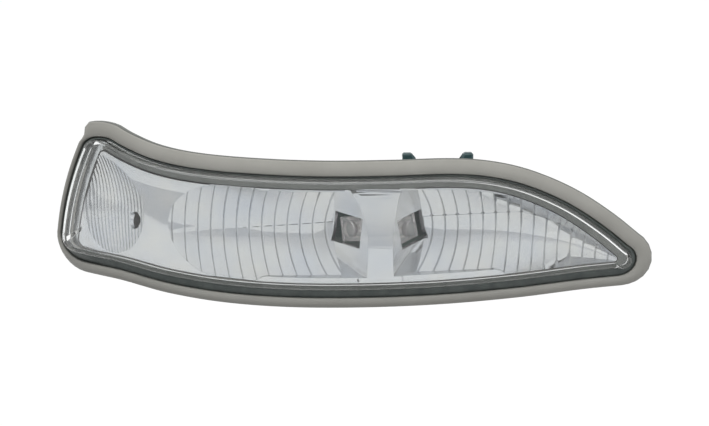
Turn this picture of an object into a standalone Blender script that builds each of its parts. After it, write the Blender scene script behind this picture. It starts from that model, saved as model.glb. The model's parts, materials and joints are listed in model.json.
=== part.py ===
"""Indicator lamp of a car's door mirror.

A clear lens with an edge leg stands in a grey housing with a crowned flange. Behind it is one metallised
reflector: two fluted bowls, the bridge between them and a ringed side bowl at the outer end. Three clear
square LEDs shine through windows in it. Boards, connector, clips and screws are behind.

Metres, +Z up. The lens faces -Y and its long side runs along X, with the outer end at -X. The origin is the
middle of the fixing pad's face, at the back.
"""

from math import cos, hypot, pi, radians, sin, sqrt, tan

import bmesh
import bpy
from mathutils import Matrix, Vector

# Outer skin of the lens: nearly flat over the bridge, swept back at the outer end
FRONT_TO_PAD = 0.034
BOW_RADIUS = 0.54
CROWN_RADIUS = 0.144
WRAP_START = 0.043
WRAP_RUN = 0.054
WRAP_DEPTH = 0.0234

# Window, the opening that the reflector is seen through, as x and z on the skin
WINDOW_TOP = (
    (-0.0864, 0.0237), (-0.0800, 0.0209), (-0.0702, 0.0178), (-0.0576, 0.0156), (-0.0396, 0.0140),
    (-0.0180, 0.0131), (0.0036, 0.0132), (0.0216, 0.0135), (0.0324, 0.0125), (0.0423, 0.0099),
    (0.0540, 0.0045), (0.0648, -0.0029), (0.0746, -0.0113),
)
WINDOW_BOTTOM = (
    (-0.0947, -0.0088), (-0.0792, -0.0095), (-0.0630, -0.0125), (-0.0450, -0.0151), (-0.0270, -0.0164),
    (-0.0045, -0.0166), (0.0180, -0.0159), (0.0405, -0.0143), (0.0612, -0.0122), (0.0746, -0.0113),
)
FIRST_TOP_STATION = -0.0840
FIRST_BOTTOM_STATION = -0.0907
LAST_STATION = 0.0700
STATIONS = 20
STATION_CROWDING = 1.2
HEAD_RADIUS = 0.0020
TIP_RADIUS = 0.0012
FOOT_RADIUS = 0.0028
CORNER_STEPS = 4
SIDE_STEPS = 4
END_BOW = 0.0010

# Bands round the window, each as top, bottom, outer end and tip
RIM_WIDTHS = (0.0030, 0.0011, 0.0031, 0.0038)
GROOVE_WIDTHS = (0.0010, 0.0031, 0.0024, 0.0019)
FLANGE_WIDTHS = (0.0048, 0.0033, 0.0012, 0.0050)
FLANGE_TAPER_END = 0.62
FLANGE_TAPER_SPAN = 0.30

# Lens
LENS_WALL = 0.0020
LENS_EDGE = 0.0013
LENS_LEG = 0.0011
SEAT_DEPTH = 0.0043

# Housing
FLANGE_DEPTH = 0.0026
FLANGE_CROWN = 0.0005
FLANGE_THICKNESS = 0.0026
HOUSING_WALL = 0.0018
DRAFT = 0.0005
PAD_HEIGHT = 0.0030
OUTER_END_DROP = 0.0085
OUTER_END_START = 0.071
OUTER_END_RUN = 0.023
TIP_RISE = 0.0115
TIP_RISE_START = 0.038
TIP_RISE_RUN = 0.038
PAD_SIZE = (0.018, 0.012)
PAD_HOLE_SPACING = 0.012
PAD_HOLE_RADIUS = 0.0012
PAD_HOLE_DEPTH = 0.0034
RIB_THICKNESS = 0.0012
RIB_HEIGHT = 0.0012
RIB_PLACES = (-0.064, -0.045, -0.016, 0.0405)

# Clearances
GAP = 0.0003
PLATE_GAP = 0.0003

# Reflector
PLATE_DEPTH = 0.0043
PLATE_WALL = 0.0015
LED_HEIGHT = 0.0
WAIST_HEIGHT = 0.0022
WAIST_RISE = 0.052
WAIST_STEP = 0.0004
FLUTE_FIRST = 0.0162
FLUTE_PITCH = 0.00383
FLUTE_RELIEF = 0.00042
FLUTE_CURVE = 1.2
BOWL_DEPTH = 0.0092
BOWL_END_DEPTH = 0.0048
BOWL_STEEPNESS = 0.8
BOWL_OVERRUN = 1.03
LEFT_BOWL_END = 0.0633
LEFT_CAP_LENGTH = 0.018
BRIDGE_HALF_WIDTH = 0.00365
BRIDGE_LEAN = 0.0034
BRIDGE_TWIST_REACH = 0.0182
BRIDGE_BLEND_START = 0.008
BRIDGE_BLEND_RUN = 0.014
BRIDGE_CREASE = -0.0055
LED_WALL_ANGLE = 39.35
LED_WALL_CENTRE = 0.0097
LED_WINDOW = (0.0103, 0.0093)
SIDE_BOWL_CENTRE = (-0.0818, 0.0045)
SIDE_BOWL_WIDTH = 0.0093
SIDE_BOWL_UP = 0.0160
SIDE_BOWL_DOWN = 0.0130
SIDE_BOWL_LEAN_RADIUS = 0.0284
SIDE_BOWL_DEPTH = 0.0070
SIDE_RING_PITCH = 0.0012
SIDE_RING_RELIEF = 0.00018
SIDE_RING_BOW = 0.35
POD_INSET = 0.0002
BOWL_ROWS = (-1.1, -0.75, -0.38, 0.0, 0.03, 0.38, 0.75, 1.1)
POD_ROWS = (-1.05, -0.75, -0.45, -0.1, 0.2, 0.5, 0.8, 1.05)
SIDE_BOWL_REACH = 1.08
SIDE_POD_REACH = 0.97
BRIDGE_ROWS = 7
BRIDGE_AIR_HALF = 0.0105
SIDE_WINDOW_RADIUS = 0.0026
SIDE_WINDOW_BEHIND = 0.0035
SIDE_WINDOW_HEIGHT = 0.0018
SIDE_LED_OFFSET = 0.0010
POST_RADIUS = 0.0022
POST_PLACES = {"left": (-0.0520, 0.0), "right": (0.0330, 0.0)}

# LEDs
LED_SIZE = 0.00762
LED_THICKNESS = 0.0030
LED_DOME = 0.0026
LED_SET_BACK = 0.0059
LEAD_PITCH = 0.00508
LEAD_WIDTH = 0.0006
LEAD_TAIL = 0.0010

# Boards
BOARD_THICKNESS = 0.0016
LED_BOARD_THICKNESS = 0.0012
LED_BOARD_HEIGHT = 0.0124
LED_BOARD_LEAD_IN = 0.0048
MAIN_BOARD_Y = -0.0089
MAIN_BOARD_X = (-0.0700, 0.0290)
MAIN_BOARD_Z = (-0.0095, 0.0095)
STANDOFF_RADIUS = 0.0026
BOARD_SCREW_PLACES = {"left": (-0.0400, -0.0055), "right": (0.0040, -0.0062)}
RESISTOR_SIZE = (0.0032, 0.0006, 0.0016)
RESISTOR_PLACES = ((-0.0300, 0.0050), (-0.0300, 0.0010), (-0.0300, -0.0030), (-0.0240, 0.0050))
DIODE_SIZE = (0.0044, 0.0022, 0.0026)
DIODE_PLACE = (0.0200, 0.0050)

# Screws
SCREW_RADIUS = 0.0013
SCREW_HEAD_RADIUS = 0.0027
SCREW_HEAD_HEIGHT = 0.0015
SCREW_LENGTH = 0.0075
BOARD_SCREW_LENGTH = 0.0042

# Connector
SOCKET_PLACE = (0.0200, 0.0)
SOCKET_INSIDE = (0.0134, 0.0062)
SOCKET_WALL = 0.0014
SOCKET_LENGTH = 0.0200
SOCKET_BASE = 0.0020
BLADE = (0.0016, 0.0008)
BLADE_PITCH = 0.0050
BLADE_REACH = 0.0080

# Vent and clips
VENT_PLACE = (-0.0300, 0.0035)
VENT_RADIUS = 0.0045
VENT_STEM_RADIUS = 0.0020
VENT_HEIGHT = 0.0020
CLIP_PLACES = {"left": 0.0097, "right": 0.0269}
CLIP_WIDTH = 0.0044
CLIP_THICKNESS = 0.0018
CLIP_Y = -0.0150
CLIP_TOP = 0.0213
CLIP_HOOK = 0.0012
CLIP_FLANK = 0.0014
CLIP_FLANK_HEIGHT = 0.0032
CLIP_POCKET_WALL = 0.0012
CLIP_POCKET_HEIGHT = 0.0026

FAR_FRONT = -0.06
BORE_STEPS = 12


def clear_scene():
    for obj in list(bpy.data.objects):
        bpy.data.objects.remove(obj, do_unlink=True)


def new_collection(name, shown=True):
    group = bpy.data.collections.new(name)
    bpy.context.scene.collection.children.link(group)
    group.hide_render = not shown
    return group


def plain_material(name, colour, roughness, metallic=0.0, transmission=0.0):
    made = bpy.data.materials.new(name)
    made.use_nodes = True
    shader = made.node_tree.nodes["Principled BSDF"]
    shader.inputs["Base Color"].default_value = (*colour, 1.0)
    shader.inputs["Roughness"].default_value = roughness
    shader.inputs["Metallic"].default_value = metallic
    shader.inputs["Transmission Weight"].default_value = transmission
    return made


# Skin and window outline


def ramp(value):
    """0 below 0 and 1 above 1, with a smooth rise between."""
    held = min(max(value, 0.0), 1.0)
    return held * held * (3 - 2 * held)


def skin_y(x, z):
    """How far back the lens's outer face lies at this place."""
    wrap = max(0.0, -x - WRAP_START) / WRAP_RUN
    return -FRONT_TO_PAD + x * x / (2 * BOW_RADIUS) + z * z / (2 * CROWN_RADIUS) + WRAP_DEPTH * wrap**3


def skin_slopes(x, z):
    wrap = max(0.0, -x - WRAP_START) / WRAP_RUN
    return x / BOW_RADIUS - 3 * WRAP_DEPTH / WRAP_RUN * wrap**2, z / CROWN_RADIUS


def under_skin(x, z, depth):
    """The point this deep under the skin, measured square to it."""
    along_x, along_z = skin_slopes(x, z)
    inward = Vector((-along_x, 1.0, -along_z)).normalized()
    return Vector((x, skin_y(x, z), z)) + inward * depth


def smooth_height(points, x):
    """Height at x of the smooth curve through the points."""
    last = len(points) - 1
    i = max(k for k in range(last) if k == 0 or points[k][0] <= x)

    def slope(k):
        before, after = points[max(k - 1, 0)], points[min(k + 1, last)]
        return (after[1] - before[1]) / (after[0] - before[0])

    span = points[i + 1][0] - points[i][0]
    s = (x - points[i][0]) / span
    start, end = points[i][1], points[i + 1][1]
    return (
        start * (1 + 2 * s) * (1 - s) ** 2
        + slope(i) * span * s * (1 - s) ** 2
        + end * s * s * (3 - 2 * s)
        + slope(i + 1) * span * s * s * (s - 1)
    )


def window_top(x):
    return smooth_height(WINDOW_TOP, x)


def window_bottom(x):
    return smooth_height(WINDOW_BOTTOM, x)


def fillet(corner, before, after, radius):
    """Points of the arc that rounds a corner, from the side before it to the side after it."""
    to_before = (before - corner).normalized()
    to_after = (after - corner).normalized()
    half = to_before.angle(to_after) / 2
    centre = corner + (to_before + to_after).normalized() * radius / sin(half)
    start = corner + to_before * radius * cos(half) / sin(half) - centre
    turn = (pi - 2 * half) * (-1 if start.cross(to_before) < 0 else 1)
    arc = []
    for step in range(CORNER_STEPS + 1):
        angle = turn * step / CORNER_STEPS
        arc.append(centre + Matrix.Rotation(-angle, 2) @ start)
    return arc


def window_outline():
    """The window's edge as points in order: along the top, round the tip, back along the bottom, up the end."""
    shares = [(k / STATIONS) ** STATION_CROWDING for k in range(STATIONS + 1)]
    top_places = [FIRST_TOP_STATION + (LAST_STATION - FIRST_TOP_STATION) * s for s in shares]
    bottom_places = [FIRST_BOTTOM_STATION + (LAST_STATION - FIRST_BOTTOM_STATION) * s for s in shares]
    top = [Vector((x, window_top(x))) for x in top_places]
    bottom = [Vector((x, window_bottom(x))) for x in reversed(bottom_places)]
    head, tip, foot = (Vector(p) for p in (WINDOW_TOP[0], WINDOW_TOP[-1], WINDOW_BOTTOM[0]))
    tip_arc = fillet(tip, top[-1], bottom[0], TIP_RADIUS)
    foot_arc = fillet(foot, bottom[-1], head, FOOT_RADIUS)
    head_arc = fillet(head, foot, top[0], HEAD_RADIUS)
    rise = head_arc[0] - foot_arc[-1]
    bulge = Vector((-rise.y, rise.x)).normalized() * END_BOW * 4
    shares = [k / SIDE_STEPS for k in range(1, SIDE_STEPS)]
    end = [foot_arc[-1] + rise * s + bulge * s * (1 - s) for s in shares]
    return top + tip_arc + bottom + foot_arc + end + head_arc


def outward_of(outline):
    """The unit vector that points out of the outline at each of its points."""
    found = []
    for k, _ in enumerate(outline):
        along = outline[(k + 1) % len(outline)] - outline[k - 1]
        found.append(Vector((-along.y, along.x)).normalized())
    return found


OUTLINE = window_outline()
OUTWARD = outward_of(OUTLINE)


def banded(widths, way):
    top, bottom, outer_end, tip = widths
    along = top if way.y > 0 else bottom
    across = tip if way.x > 0 else outer_end
    return along * way.y**2 + across * way.x**2


def rim_edge(way):
    return banded(RIM_WIDTHS, way)


def groove_edge(way):
    return rim_edge(way) + banded(GROOVE_WIDTHS, way)


def flange_width(way):
    """The flange's width. It tapers quickly round the upper outer corner."""
    if way.x < 0 < way.y:
        top, _, outer_end, _ = FLANGE_WIDTHS
        return outer_end + (top - outer_end) * ramp((way.y - FLANGE_TAPER_END) / FLANGE_TAPER_SPAN)
    return banded(FLANGE_WIDTHS, way)


def ring(offset, depth):
    """The outline moved outward by offset, at this depth under the skin. offset is a number or a rule."""
    flat = []
    for point, way in zip(OUTLINE, OUTWARD):
        flat.append(point + way * (offset(way) if callable(offset) else offset))
    return flat, lambda x, z: under_skin(x, z, depth)


def add_ring(bm, section):
    flat, lay = section
    return [bm.verts.new(lay(p.x, p.y)) for p in flat]


def join_rings(bm, one, other):
    for k, vert in enumerate(one):
        after = (k + 1) % len(one)
        bm.faces.new((vert, one[after], other[after], other[k]))


def zip_chains(bm, one, other):
    """Triangles between two chains of vertices that start and end together."""
    i = j = 0
    while i < len(one) - 1 or j < len(other) - 1:
        ahead = (i + 1) / (len(one) - 1) <= (j + 1) / (len(other) - 1)
        if j == len(other) - 1 or (i < len(one) - 1 and ahead):
            corners = (one[i], one[i + 1], other[j])
            i += 1
        else:
            corners = (one[i], other[j + 1], other[j])
            j += 1
        if len(set(corners)) == 3:
            bm.faces.new(corners)


def fill_ring(bm, section, verts, rows):
    """Closes a ring with columns of faces, so that the face follows the skin."""
    flat, lay = section
    count = STATIONS + 1
    first_bottom = count + CORNER_STEPS + 1
    columns = []
    for k in range(count):
        low = first_bottom + count - 1 - k
        column = [verts[low]]
        for row in range(1, rows):
            p = flat[low].lerp(flat[k], row / rows)
            column.append(bm.verts.new(lay(p.x, p.y)))
        columns.append(column + [verts[k]])
    for one, other in zip(columns, columns[1:]):
        for row in range(rows):
            bm.faces.new((one[row], other[row], other[row + 1], one[row + 1]))
    tip = [columns[-1][-1]] + verts[count:first_bottom] + [columns[-1][0]]
    outer_end = [columns[0][0]] + verts[first_bottom + count:] + [columns[0][-1]]
    zip_chains(bm, tip, columns[-1][::-1])
    zip_chains(bm, outer_end, columns[0])


# Solids


def finish(name, bm, group, colour=None):
    """Makes an object of the mesh, with its faces pointing out."""
    bmesh.ops.recalc_face_normals(bm, faces=bm.faces)
    mesh = bpy.data.meshes.new(name)
    bm.to_mesh(mesh)
    bm.free()
    obj = bpy.data.objects.new(name, mesh)
    group.objects.link(obj)
    if colour:
        mesh.materials.append(colour)
    if group.hide_render:
        obj.hide_render = True
        obj.display_type = "WIRE"
    return obj


def lofted(name, sections, group, colour=None, rows=0):
    """A body through rings in order. With rows its first and last rings are filled, else it closes on itself."""
    bm = bmesh.new()
    rings = [add_ring(bm, section) for section in sections]
    for one, other in zip(rings, rings[1:]):
        join_rings(bm, one, other)
    if rows:
        fill_ring(bm, sections[0], rings[0], rows)
        fill_ring(bm, sections[-1], rings[-1], rows)
    else:
        join_rings(bm, rings[-1], rings[0])
    bmesh.ops.triangulate(bm, faces=bm.faces)
    return finish(name, bm, group, colour)


def block_between(name, net, group):
    """A closed block over a net of places. Each is x, z, and the y of its front and of its back."""
    columns, rows = len(net), len(net[0])
    bm = bmesh.new()
    bmesh.ops.create_grid(bm, x_segments=columns - 1, y_segments=rows - 1, size=1.0)
    number = bm.verts.layers.int.new("number")
    for vert in bm.verts:
        column = round((vert.co.x + 1) / 2 * (columns - 1))
        row = round((vert.co.y + 1) / 2 * (rows - 1))
        x, z, front, back = net[column][row]
        vert.co = (x, front, z)
        vert[number] = column * rows + row
    raised = bmesh.ops.extrude_face_region(bm, geom=bm.faces[:])
    for vert in (v for v in raised["geom"] if isinstance(v, bmesh.types.BMVert)):
        column, row = divmod(vert[number], rows)
        vert.co.y = net[column][row][3]
    bmesh.ops.triangulate(bm, faces=bm.faces)
    return finish(name, bm, group)


def box(name, low, high, group, colour=None):
    bm = bmesh.new()
    bmesh.ops.create_cube(bm, size=1.0)
    low, high = Vector(low), Vector(high)
    bmesh.ops.scale(bm, vec=high - low, verts=bm.verts)
    bmesh.ops.translate(bm, vec=(low + high) / 2, verts=bm.verts)
    return finish(name, bm, group, colour)


def post(name, place, start, end, radius, group, colour=None, steps=BORE_STEPS):
    """A round post along Y at place, which is x and z."""
    bm = bmesh.new()
    bmesh.ops.create_cone(bm, cap_ends=True, segments=steps, radius1=radius, radius2=radius, depth=end - start)
    turn = Matrix.Rotation(radians(90), 4, "X")
    bmesh.ops.transform(bm, matrix=turn, verts=bm.verts)
    bmesh.ops.translate(bm, vec=(place[0], (start + end) / 2, place[1]), verts=bm.verts)
    return finish(name, bm, group, colour)


def trim(obj, point, away):
    """Cuts off what lies on the away side of a plane, and closes the cut."""
    bm = bmesh.new()
    bm.from_mesh(obj.data)
    everything = bm.verts[:] + bm.edges[:] + bm.faces[:]
    cut = bmesh.ops.bisect_plane(
        bm, geom=everything, dist=1e-7, plane_co=point, plane_no=away, clear_outer=True
    )
    edges = [e for e in cut["geom_cut"] if isinstance(e, bmesh.types.BMEdge)]
    bmesh.ops.contextual_create(bm, geom=edges)
    bmesh.ops.recalc_face_normals(bm, faces=bm.faces)
    bm.to_mesh(obj.data)
    bm.free()


def combine(obj, tool, operation):
    step = obj.modifiers.new(tool.name, "BOOLEAN")
    step.operation = operation
    step.object = tool
    step.solver = "EXACT"


def settle(obj):
    """Turns an object's modifiers into its mesh."""
    seen = obj.evaluated_get(bpy.context.evaluated_depsgraph_get())
    mesh = bpy.data.meshes.new_from_object(seen)
    obj.modifiers.clear()
    obj.data = mesh


def bevel(obj, width, segments=1, angle=radians(40)):
    step = obj.modifiers.new("rounded edges", "BEVEL")
    step.width = width
    step.segments = segments
    step.limit_method = "ANGLE"
    step.angle_limit = angle


def smooth(obj, angle=radians(35)):
    obj.data.shade_smooth()
    obj.data.set_sharp_from_angle(angle=angle)


# Housing


def floor_y(x):
    """Where the housing's back lies: flat, but further back at the outer end and forward at the tip."""
    outer = OUTER_END_DROP * ramp((-x - OUTER_END_START) / OUTER_END_RUN)
    tip = TIP_RISE * ramp((x - TIP_RISE_START) / TIP_RISE_RUN)
    return -PAD_HEIGHT + outer - tip


def backed_ring(offset, depth, wall):
    """The ring at this offset and depth, moved straight back so that a wall this thick lies before it."""
    flat, _ = ring(offset, depth)

    def lay(x, z):
        return under_skin(x, z, depth) + Vector((0, wall * hypot(1.0, *skin_slopes(x, z)), 0))

    return flat, lay


def drawn_ring(section, inset, level):
    """The ring that section makes where it is drawn straight back to a level, moved in by inset."""
    flat, lay = section
    drawn = []
    for point, way in zip(flat, OUTWARD):
        start = lay(point.x, point.y)
        drawn.append(Vector((start.x - way.x * inset, start.z - way.y * inset)))
    return drawn, lambda x, z: Vector((x, level(x, z), z))


def make_housing(parts, cutters, colour):
    def crown(share):
        return lambda way: groove_edge(way) + flange_width(way) * share

    def behind_groove(way):
        return groove_edge(way) + min(HOUSING_WALL * 0.9, flange_width(way) * 0.85)

    inner_wall = ring(0.0, SEAT_DEPTH)
    outer_wall = backed_ring(HOUSING_WALL, SEAT_DEPTH, HOUSING_WALL)
    sections = [
        drawn_ring(inner_wall, DRAFT, lambda x, z: floor_y(x) - HOUSING_WALL),
        inner_wall,
        ring(groove_edge, SEAT_DEPTH),
        ring(groove_edge, FLANGE_DEPTH),
        ring(crown(0.4), FLANGE_DEPTH - FLANGE_CROWN),
        ring(crown(0.8), FLANGE_DEPTH),
        ring(crown(1.0), FLANGE_DEPTH + FLANGE_THICKNESS * 0.4),
        ring(crown(1.0), FLANGE_DEPTH + FLANGE_THICKNESS * 0.8),
        ring(crown(0.85), FLANGE_DEPTH + FLANGE_THICKNESS),
        ring(behind_groove, FLANGE_DEPTH + FLANGE_THICKNESS),
        backed_ring(behind_groove, SEAT_DEPTH, HOUSING_WALL),
        outer_wall,
        drawn_ring(outer_wall, DRAFT, lambda x, z: floor_y(x)),
    ]
    housing = lofted("housing", sections, parts, colour, rows=3)
    add_pad_and_ribs(housing, cutters)
    add_standoffs(housing, cutters)
    add_clip_pockets(housing, cutters)
    cut_floor_holes(housing, cutters)
    settle(housing)
    smooth(housing)
    return housing


def add_pad_and_ribs(housing, cutters):
    wide, high = PAD_SIZE
    sunk = -PAD_HEIGHT - HOUSING_WALL / 2
    pad = box("pad", (-wide / 2, sunk, -high / 2), (wide / 2, 0.0, high / 2), cutters)
    combine(housing, pad, "UNION")
    for x in RIB_PLACES:
        low = window_bottom(x) + HOUSING_WALL
        top = window_top(x) - HOUSING_WALL
        level = floor_y(x)
        rib = box(
            "rib",
            (x - RIB_THICKNESS / 2, level - HOUSING_WALL / 2, low),
            (x + RIB_THICKNESS / 2, level + RIB_HEIGHT, top),
            cutters,
        )
        combine(housing, rib, "UNION")
    for side in (-1, 1):
        place = (side * PAD_HOLE_SPACING / 2, 0.0)
        hole = post("pad_hole", place, -PAD_HOLE_DEPTH, PAD_HEIGHT, PAD_HOLE_RADIUS, cutters)
        combine(housing, hole, "DIFFERENCE")


def add_standoffs(housing, cutters):
    inside = -PAD_HEIGHT - HOUSING_WALL
    for place in BOARD_SCREW_PLACES.values():
        end = inside + HOUSING_WALL / 2
        standoff = post("standoff", place, MAIN_BOARD_Y + GAP, end, STANDOFF_RADIUS, cutters)
        combine(housing, standoff, "UNION")
        tip = MAIN_BOARD_Y - BOARD_THICKNESS - GAP + BOARD_SCREW_LENGTH + GAP
        pilot = post("standoff_pilot", place, MAIN_BOARD_Y - GAP, tip, SCREW_RADIUS + GAP, cutters)
        combine(housing, pilot, "DIFFERENCE")


def clip_pocket_base(x):
    """Height of the housing's upper wall where a clip stands."""
    return window_top(x) + HOUSING_WALL - DRAFT


def add_clip_pockets(housing, cutters):
    half_y = CLIP_THICKNESS / 2 + GAP + CLIP_POCKET_WALL
    for x in CLIP_PLACES.values():
        half_x = CLIP_WIDTH / 2 + GAP + CLIP_POCKET_WALL
        base = clip_pocket_base(x)
        low = (x - half_x, CLIP_Y - half_y, base - HOUSING_WALL * 0.8)
        high = (x + half_x, CLIP_Y + half_y, base + CLIP_POCKET_HEIGHT)
        combine(housing, box("clip_pocket", low, high, cutters), "UNION")
        low = (x - half_x + CLIP_POCKET_WALL, CLIP_Y - half_y + CLIP_POCKET_WALL, base + GAP)
        high = (x + half_x - CLIP_POCKET_WALL, CLIP_Y + half_y - CLIP_POCKET_WALL, CLIP_TOP)
        combine(housing, box("clip_slot", low, high, cutters), "DIFFERENCE")


def cut_floor_holes(housing, cutters):
    front, behind = -PAD_HEIGHT - 2 * HOUSING_WALL, PAD_HEIGHT
    for place in POST_PLACES.values():
        hole = post("post_hole", place, front, behind, SCREW_RADIUS + GAP, cutters)
        combine(housing, hole, "DIFFERENCE")
    vent = post("vent_hole", VENT_PLACE, front, behind, VENT_STEM_RADIUS + GAP, cutters)
    combine(housing, vent, "DIFFERENCE")
    half_x = SOCKET_INSIDE[0] / 2 + SOCKET_WALL + GAP
    half_z = SOCKET_INSIDE[1] / 2 + SOCKET_WALL + GAP
    x, z = SOCKET_PLACE
    socket = box("socket_hole", (x - half_x, front, z - half_z), (x + half_x, behind, z + half_z), cutters)
    combine(housing, socket, "DIFFERENCE")


# Lens and seal


def make_lens(parts, colour):
    def inset(amount):
        return lambda way: rim_edge(way) - amount

    foot = SEAT_DEPTH - GAP
    sections = [
        ring(inset(LENS_EDGE), 0.0),
        ring(inset(LENS_EDGE * 0.3), LENS_EDGE * 0.3),
        ring(inset(0.0), LENS_EDGE),
        ring(inset(0.0), foot),
        ring(inset(LENS_LEG), foot),
        ring(inset(LENS_LEG), LENS_WALL + GAP),
        ring(inset(LENS_LEG + GAP), LENS_WALL),
    ]
    lens = lofted("lens", sections, parts, colour, rows=5)
    smooth(lens)
    return lens


def make_seal_bead(parts, colour):
    def inner(way):
        return rim_edge(way) + GAP

    def outer(way):
        return groove_edge(way) - GAP

    foot = SEAT_DEPTH - GAP
    top = (FLANGE_DEPTH + foot) / 2
    sections = [ring(inner, top), ring(outer, top), ring(outer, foot), ring(inner, foot)]
    bead = lofted("seal_bead", sections, parts, colour)
    smooth(bead)
    return bead


# Reflector


def plate_y(x, z):
    """The plate's front face, as far under the skin as its depth says."""
    along_x, along_z = skin_slopes(x, z)
    return skin_y(x, z) + PLATE_DEPTH * sqrt(1 + along_x**2 + along_z**2)


def edge_at_plate(edge, x):
    """Height of a window edge at x, where the housing's wall carries it back to the plate."""
    flat = x
    for _ in range(5):
        flat += x - under_skin(flat, edge(flat), PLATE_DEPTH).x
    return under_skin(flat, edge(flat), PLATE_DEPTH).z


def plate_top(x):
    return edge_at_plate(window_top, x)


def plate_bottom(x):
    return edge_at_plate(window_bottom, x)


def waist(x):
    """Height of the step line that runs along both bowls."""
    return WAIST_HEIGHT + WAIST_RISE * x


def bridge_lean(x, z):
    """How far the bridge's front leans back above its crease, more on its outer side."""
    rise = max(0.0, (z - BRIDGE_CREASE) / (window_top(0.0) - BRIDGE_CREASE))
    return BRIDGE_LEAN * rise**2 * (1 - x / BRIDGE_TWIST_REACH)


def bridge_y(x, z):
    return plate_y(0.0, 0.0) + bridge_lean(x, z)


def bowl_end(side):
    return LEFT_BOWL_END if side < 0 else WINDOW_TOP[-1][0] - TIP_RADIUS


def bowl_y(side, x, z):
    """The plain bowl's surface on one side of the bridge."""
    top, low = plate_top(x), plate_bottom(x)
    half = max((top - low) / 2, 0.001) * BOWL_OVERRUN
    across = (z - (top + low) / 2) / half
    end = bowl_end(side)
    cap = max(0.0, (abs(x) - end + LEFT_CAP_LENGTH) / LEFT_CAP_LENGTH) if side < 0 else 0.0
    share = (abs(x) - FLUTE_FIRST) / (end - FLUTE_FIRST)
    depth = min(BOWL_DEPTH + (BOWL_END_DEPTH - BOWL_DEPTH) * max(share, 0.0), BOWL_STEEPNESS * half)
    blend = 1 - ramp((abs(x) - BRIDGE_BLEND_START) / BRIDGE_BLEND_RUN)
    lean = bridge_lean(side * BRIDGE_BLEND_START, min(z, top)) * blend
    return plate_y(x, z) + lean + depth * (1 - across**2 - cap**2)


def bowl_places(side, steps, rows):
    """A net over one bowl as (x, z, u): columns bow about the bridge, and u is their distance from it."""
    start = FLUTE_FIRST - 4 * FLUTE_PITCH
    end = bowl_end(side) + (FLUTE_PITCH / 2 if side < 0 else 0.0)
    count = int((end - start) / FLUTE_PITCH * steps)
    net = []
    for k in range(count + 2):
        u = min(start + k * FLUTE_PITCH / steps, end)
        top, low = plate_top(side * u), plate_bottom(side * u)
        line = min(waist(side * u), low + 0.8 * (top - low))
        column = []
        for t in rows:
            z = line + t * ((top - line) if t > 0 else (line - low))
            bow = (z - LED_HEIGHT) ** 2 / (2 * FLUTE_CURVE * max(u, FLUTE_FIRST))
            column.append((side * (u - bow), z, u))
        net.append(column)
    return net


def fluted_y(side, x, z, u):
    """The bowl with its flutes and the step at its waist."""
    part = ((u - FLUTE_FIRST) / FLUTE_PITCH) % 1.0
    part = 0.0 if part > 0.999 else part
    step = WAIST_STEP if z > waist(side * u) else 0.0
    return bowl_y(side, x, z) - FLUTE_RELIEF * 4 * part * (1 - part) - step


def pod_net(places, surface):
    """The net of the wall behind a bowl: it starts inside the plate and ends a wall behind the surface."""
    net = []
    for column in places:
        line = []
        for x, z, _ in column:
            plate = plate_y(x, z)
            back = max(surface(x, z) + PLATE_WALL, plate + PLATE_WALL * 0.9)
            line.append((x, z, plate + PLATE_WALL * 0.3, back))
        net.append(line)
    return net


def make_bowl(side, cutters):
    """The air in one bowl, cut off at the LED wall, and the pod that becomes the wall round it."""
    name = "left" if side < 0 else "right"
    places = bowl_places(side, 3, BOWL_ROWS)
    net = [[(x, z, FAR_FRONT, fluted_y(side, x, z, u)) for x, z, u in column] for column in places]
    air = block_between(f"{name}_bowl_air", net, cutters)
    places = bowl_places(side, 0.5, POD_ROWS)
    pod = block_between(f"{name}_pod", pod_net(places, lambda x, z: bowl_y(side, x, z)), cutters)
    edge, along, inward = led_wall(side)
    trim(air, edge, inward)
    trim(pod, edge + inward * PLATE_WALL * 1.4, inward)
    return air, pod


def led_wall(side):
    """The LED wall's front edge, the way it runs back, and the way into the bridge."""
    edge = Vector((side * BRIDGE_HALF_WIDTH, plate_y(0.0, 0.0), 0.0))
    along = Vector((side * cos(radians(LED_WALL_ANGLE)), sin(radians(LED_WALL_ANGLE)), 0.0))
    inward = Vector((-side * along.y, along.x * side, 0.0))
    return edge, along, inward


def bridge_net(half_x, low, high, front, back):
    heights = [low + (high - low) * k / BRIDGE_ROWS for k in range(BRIDGE_ROWS + 1)]
    return [[(x, z, front(x, z), back(x, z)) for z in heights] for x in (-half_x, half_x)]


def make_bridge(cutters):
    """The bridge's block, the air in front of it and the hollow behind it."""
    foot = BRIDGE_HALF_WIDTH + BOWL_DEPTH / tan(radians(LED_WALL_ANGLE))
    back = plate_y(0.0, 0.0) + BOWL_DEPTH + PLATE_WALL
    low, high = plate_bottom(0.0), plate_top(0.0)
    over = PLATE_WALL
    net = bridge_net(foot, low - over, high + over, bridge_y, lambda x, z: back)
    body = block_between("bridge", net, cutters)
    net = bridge_net(BRIDGE_AIR_HALF, low - over, high + over, lambda x, z: FAR_FRONT, bridge_y)
    free = block_between("bridge_front_air", net, cutters)
    net = bridge_net(
        foot,
        low + DRAFT + 2 * PLATE_WALL,
        high - DRAFT - 2 * PLATE_WALL,
        lambda x, z: bridge_y(x, z) + PLATE_WALL,
        lambda x, z: back + PLATE_WALL,
    )
    hollow = block_between("bridge_hollow", net, cutters)
    for side in (-1, 1):
        edge, along, inward = led_wall(side)
        trim(body, edge - inward * PLATE_WALL, -inward)
        trim(hollow, edge + inward * PLATE_WALL, -inward)
    return body, free, hollow


def side_bowl_lean(above):
    """How far the side bowl leans outwards at this height above its middle."""
    return max(above, 0.0) ** 2 / (2 * SIDE_BOWL_LEAN_RADIUS)


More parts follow.
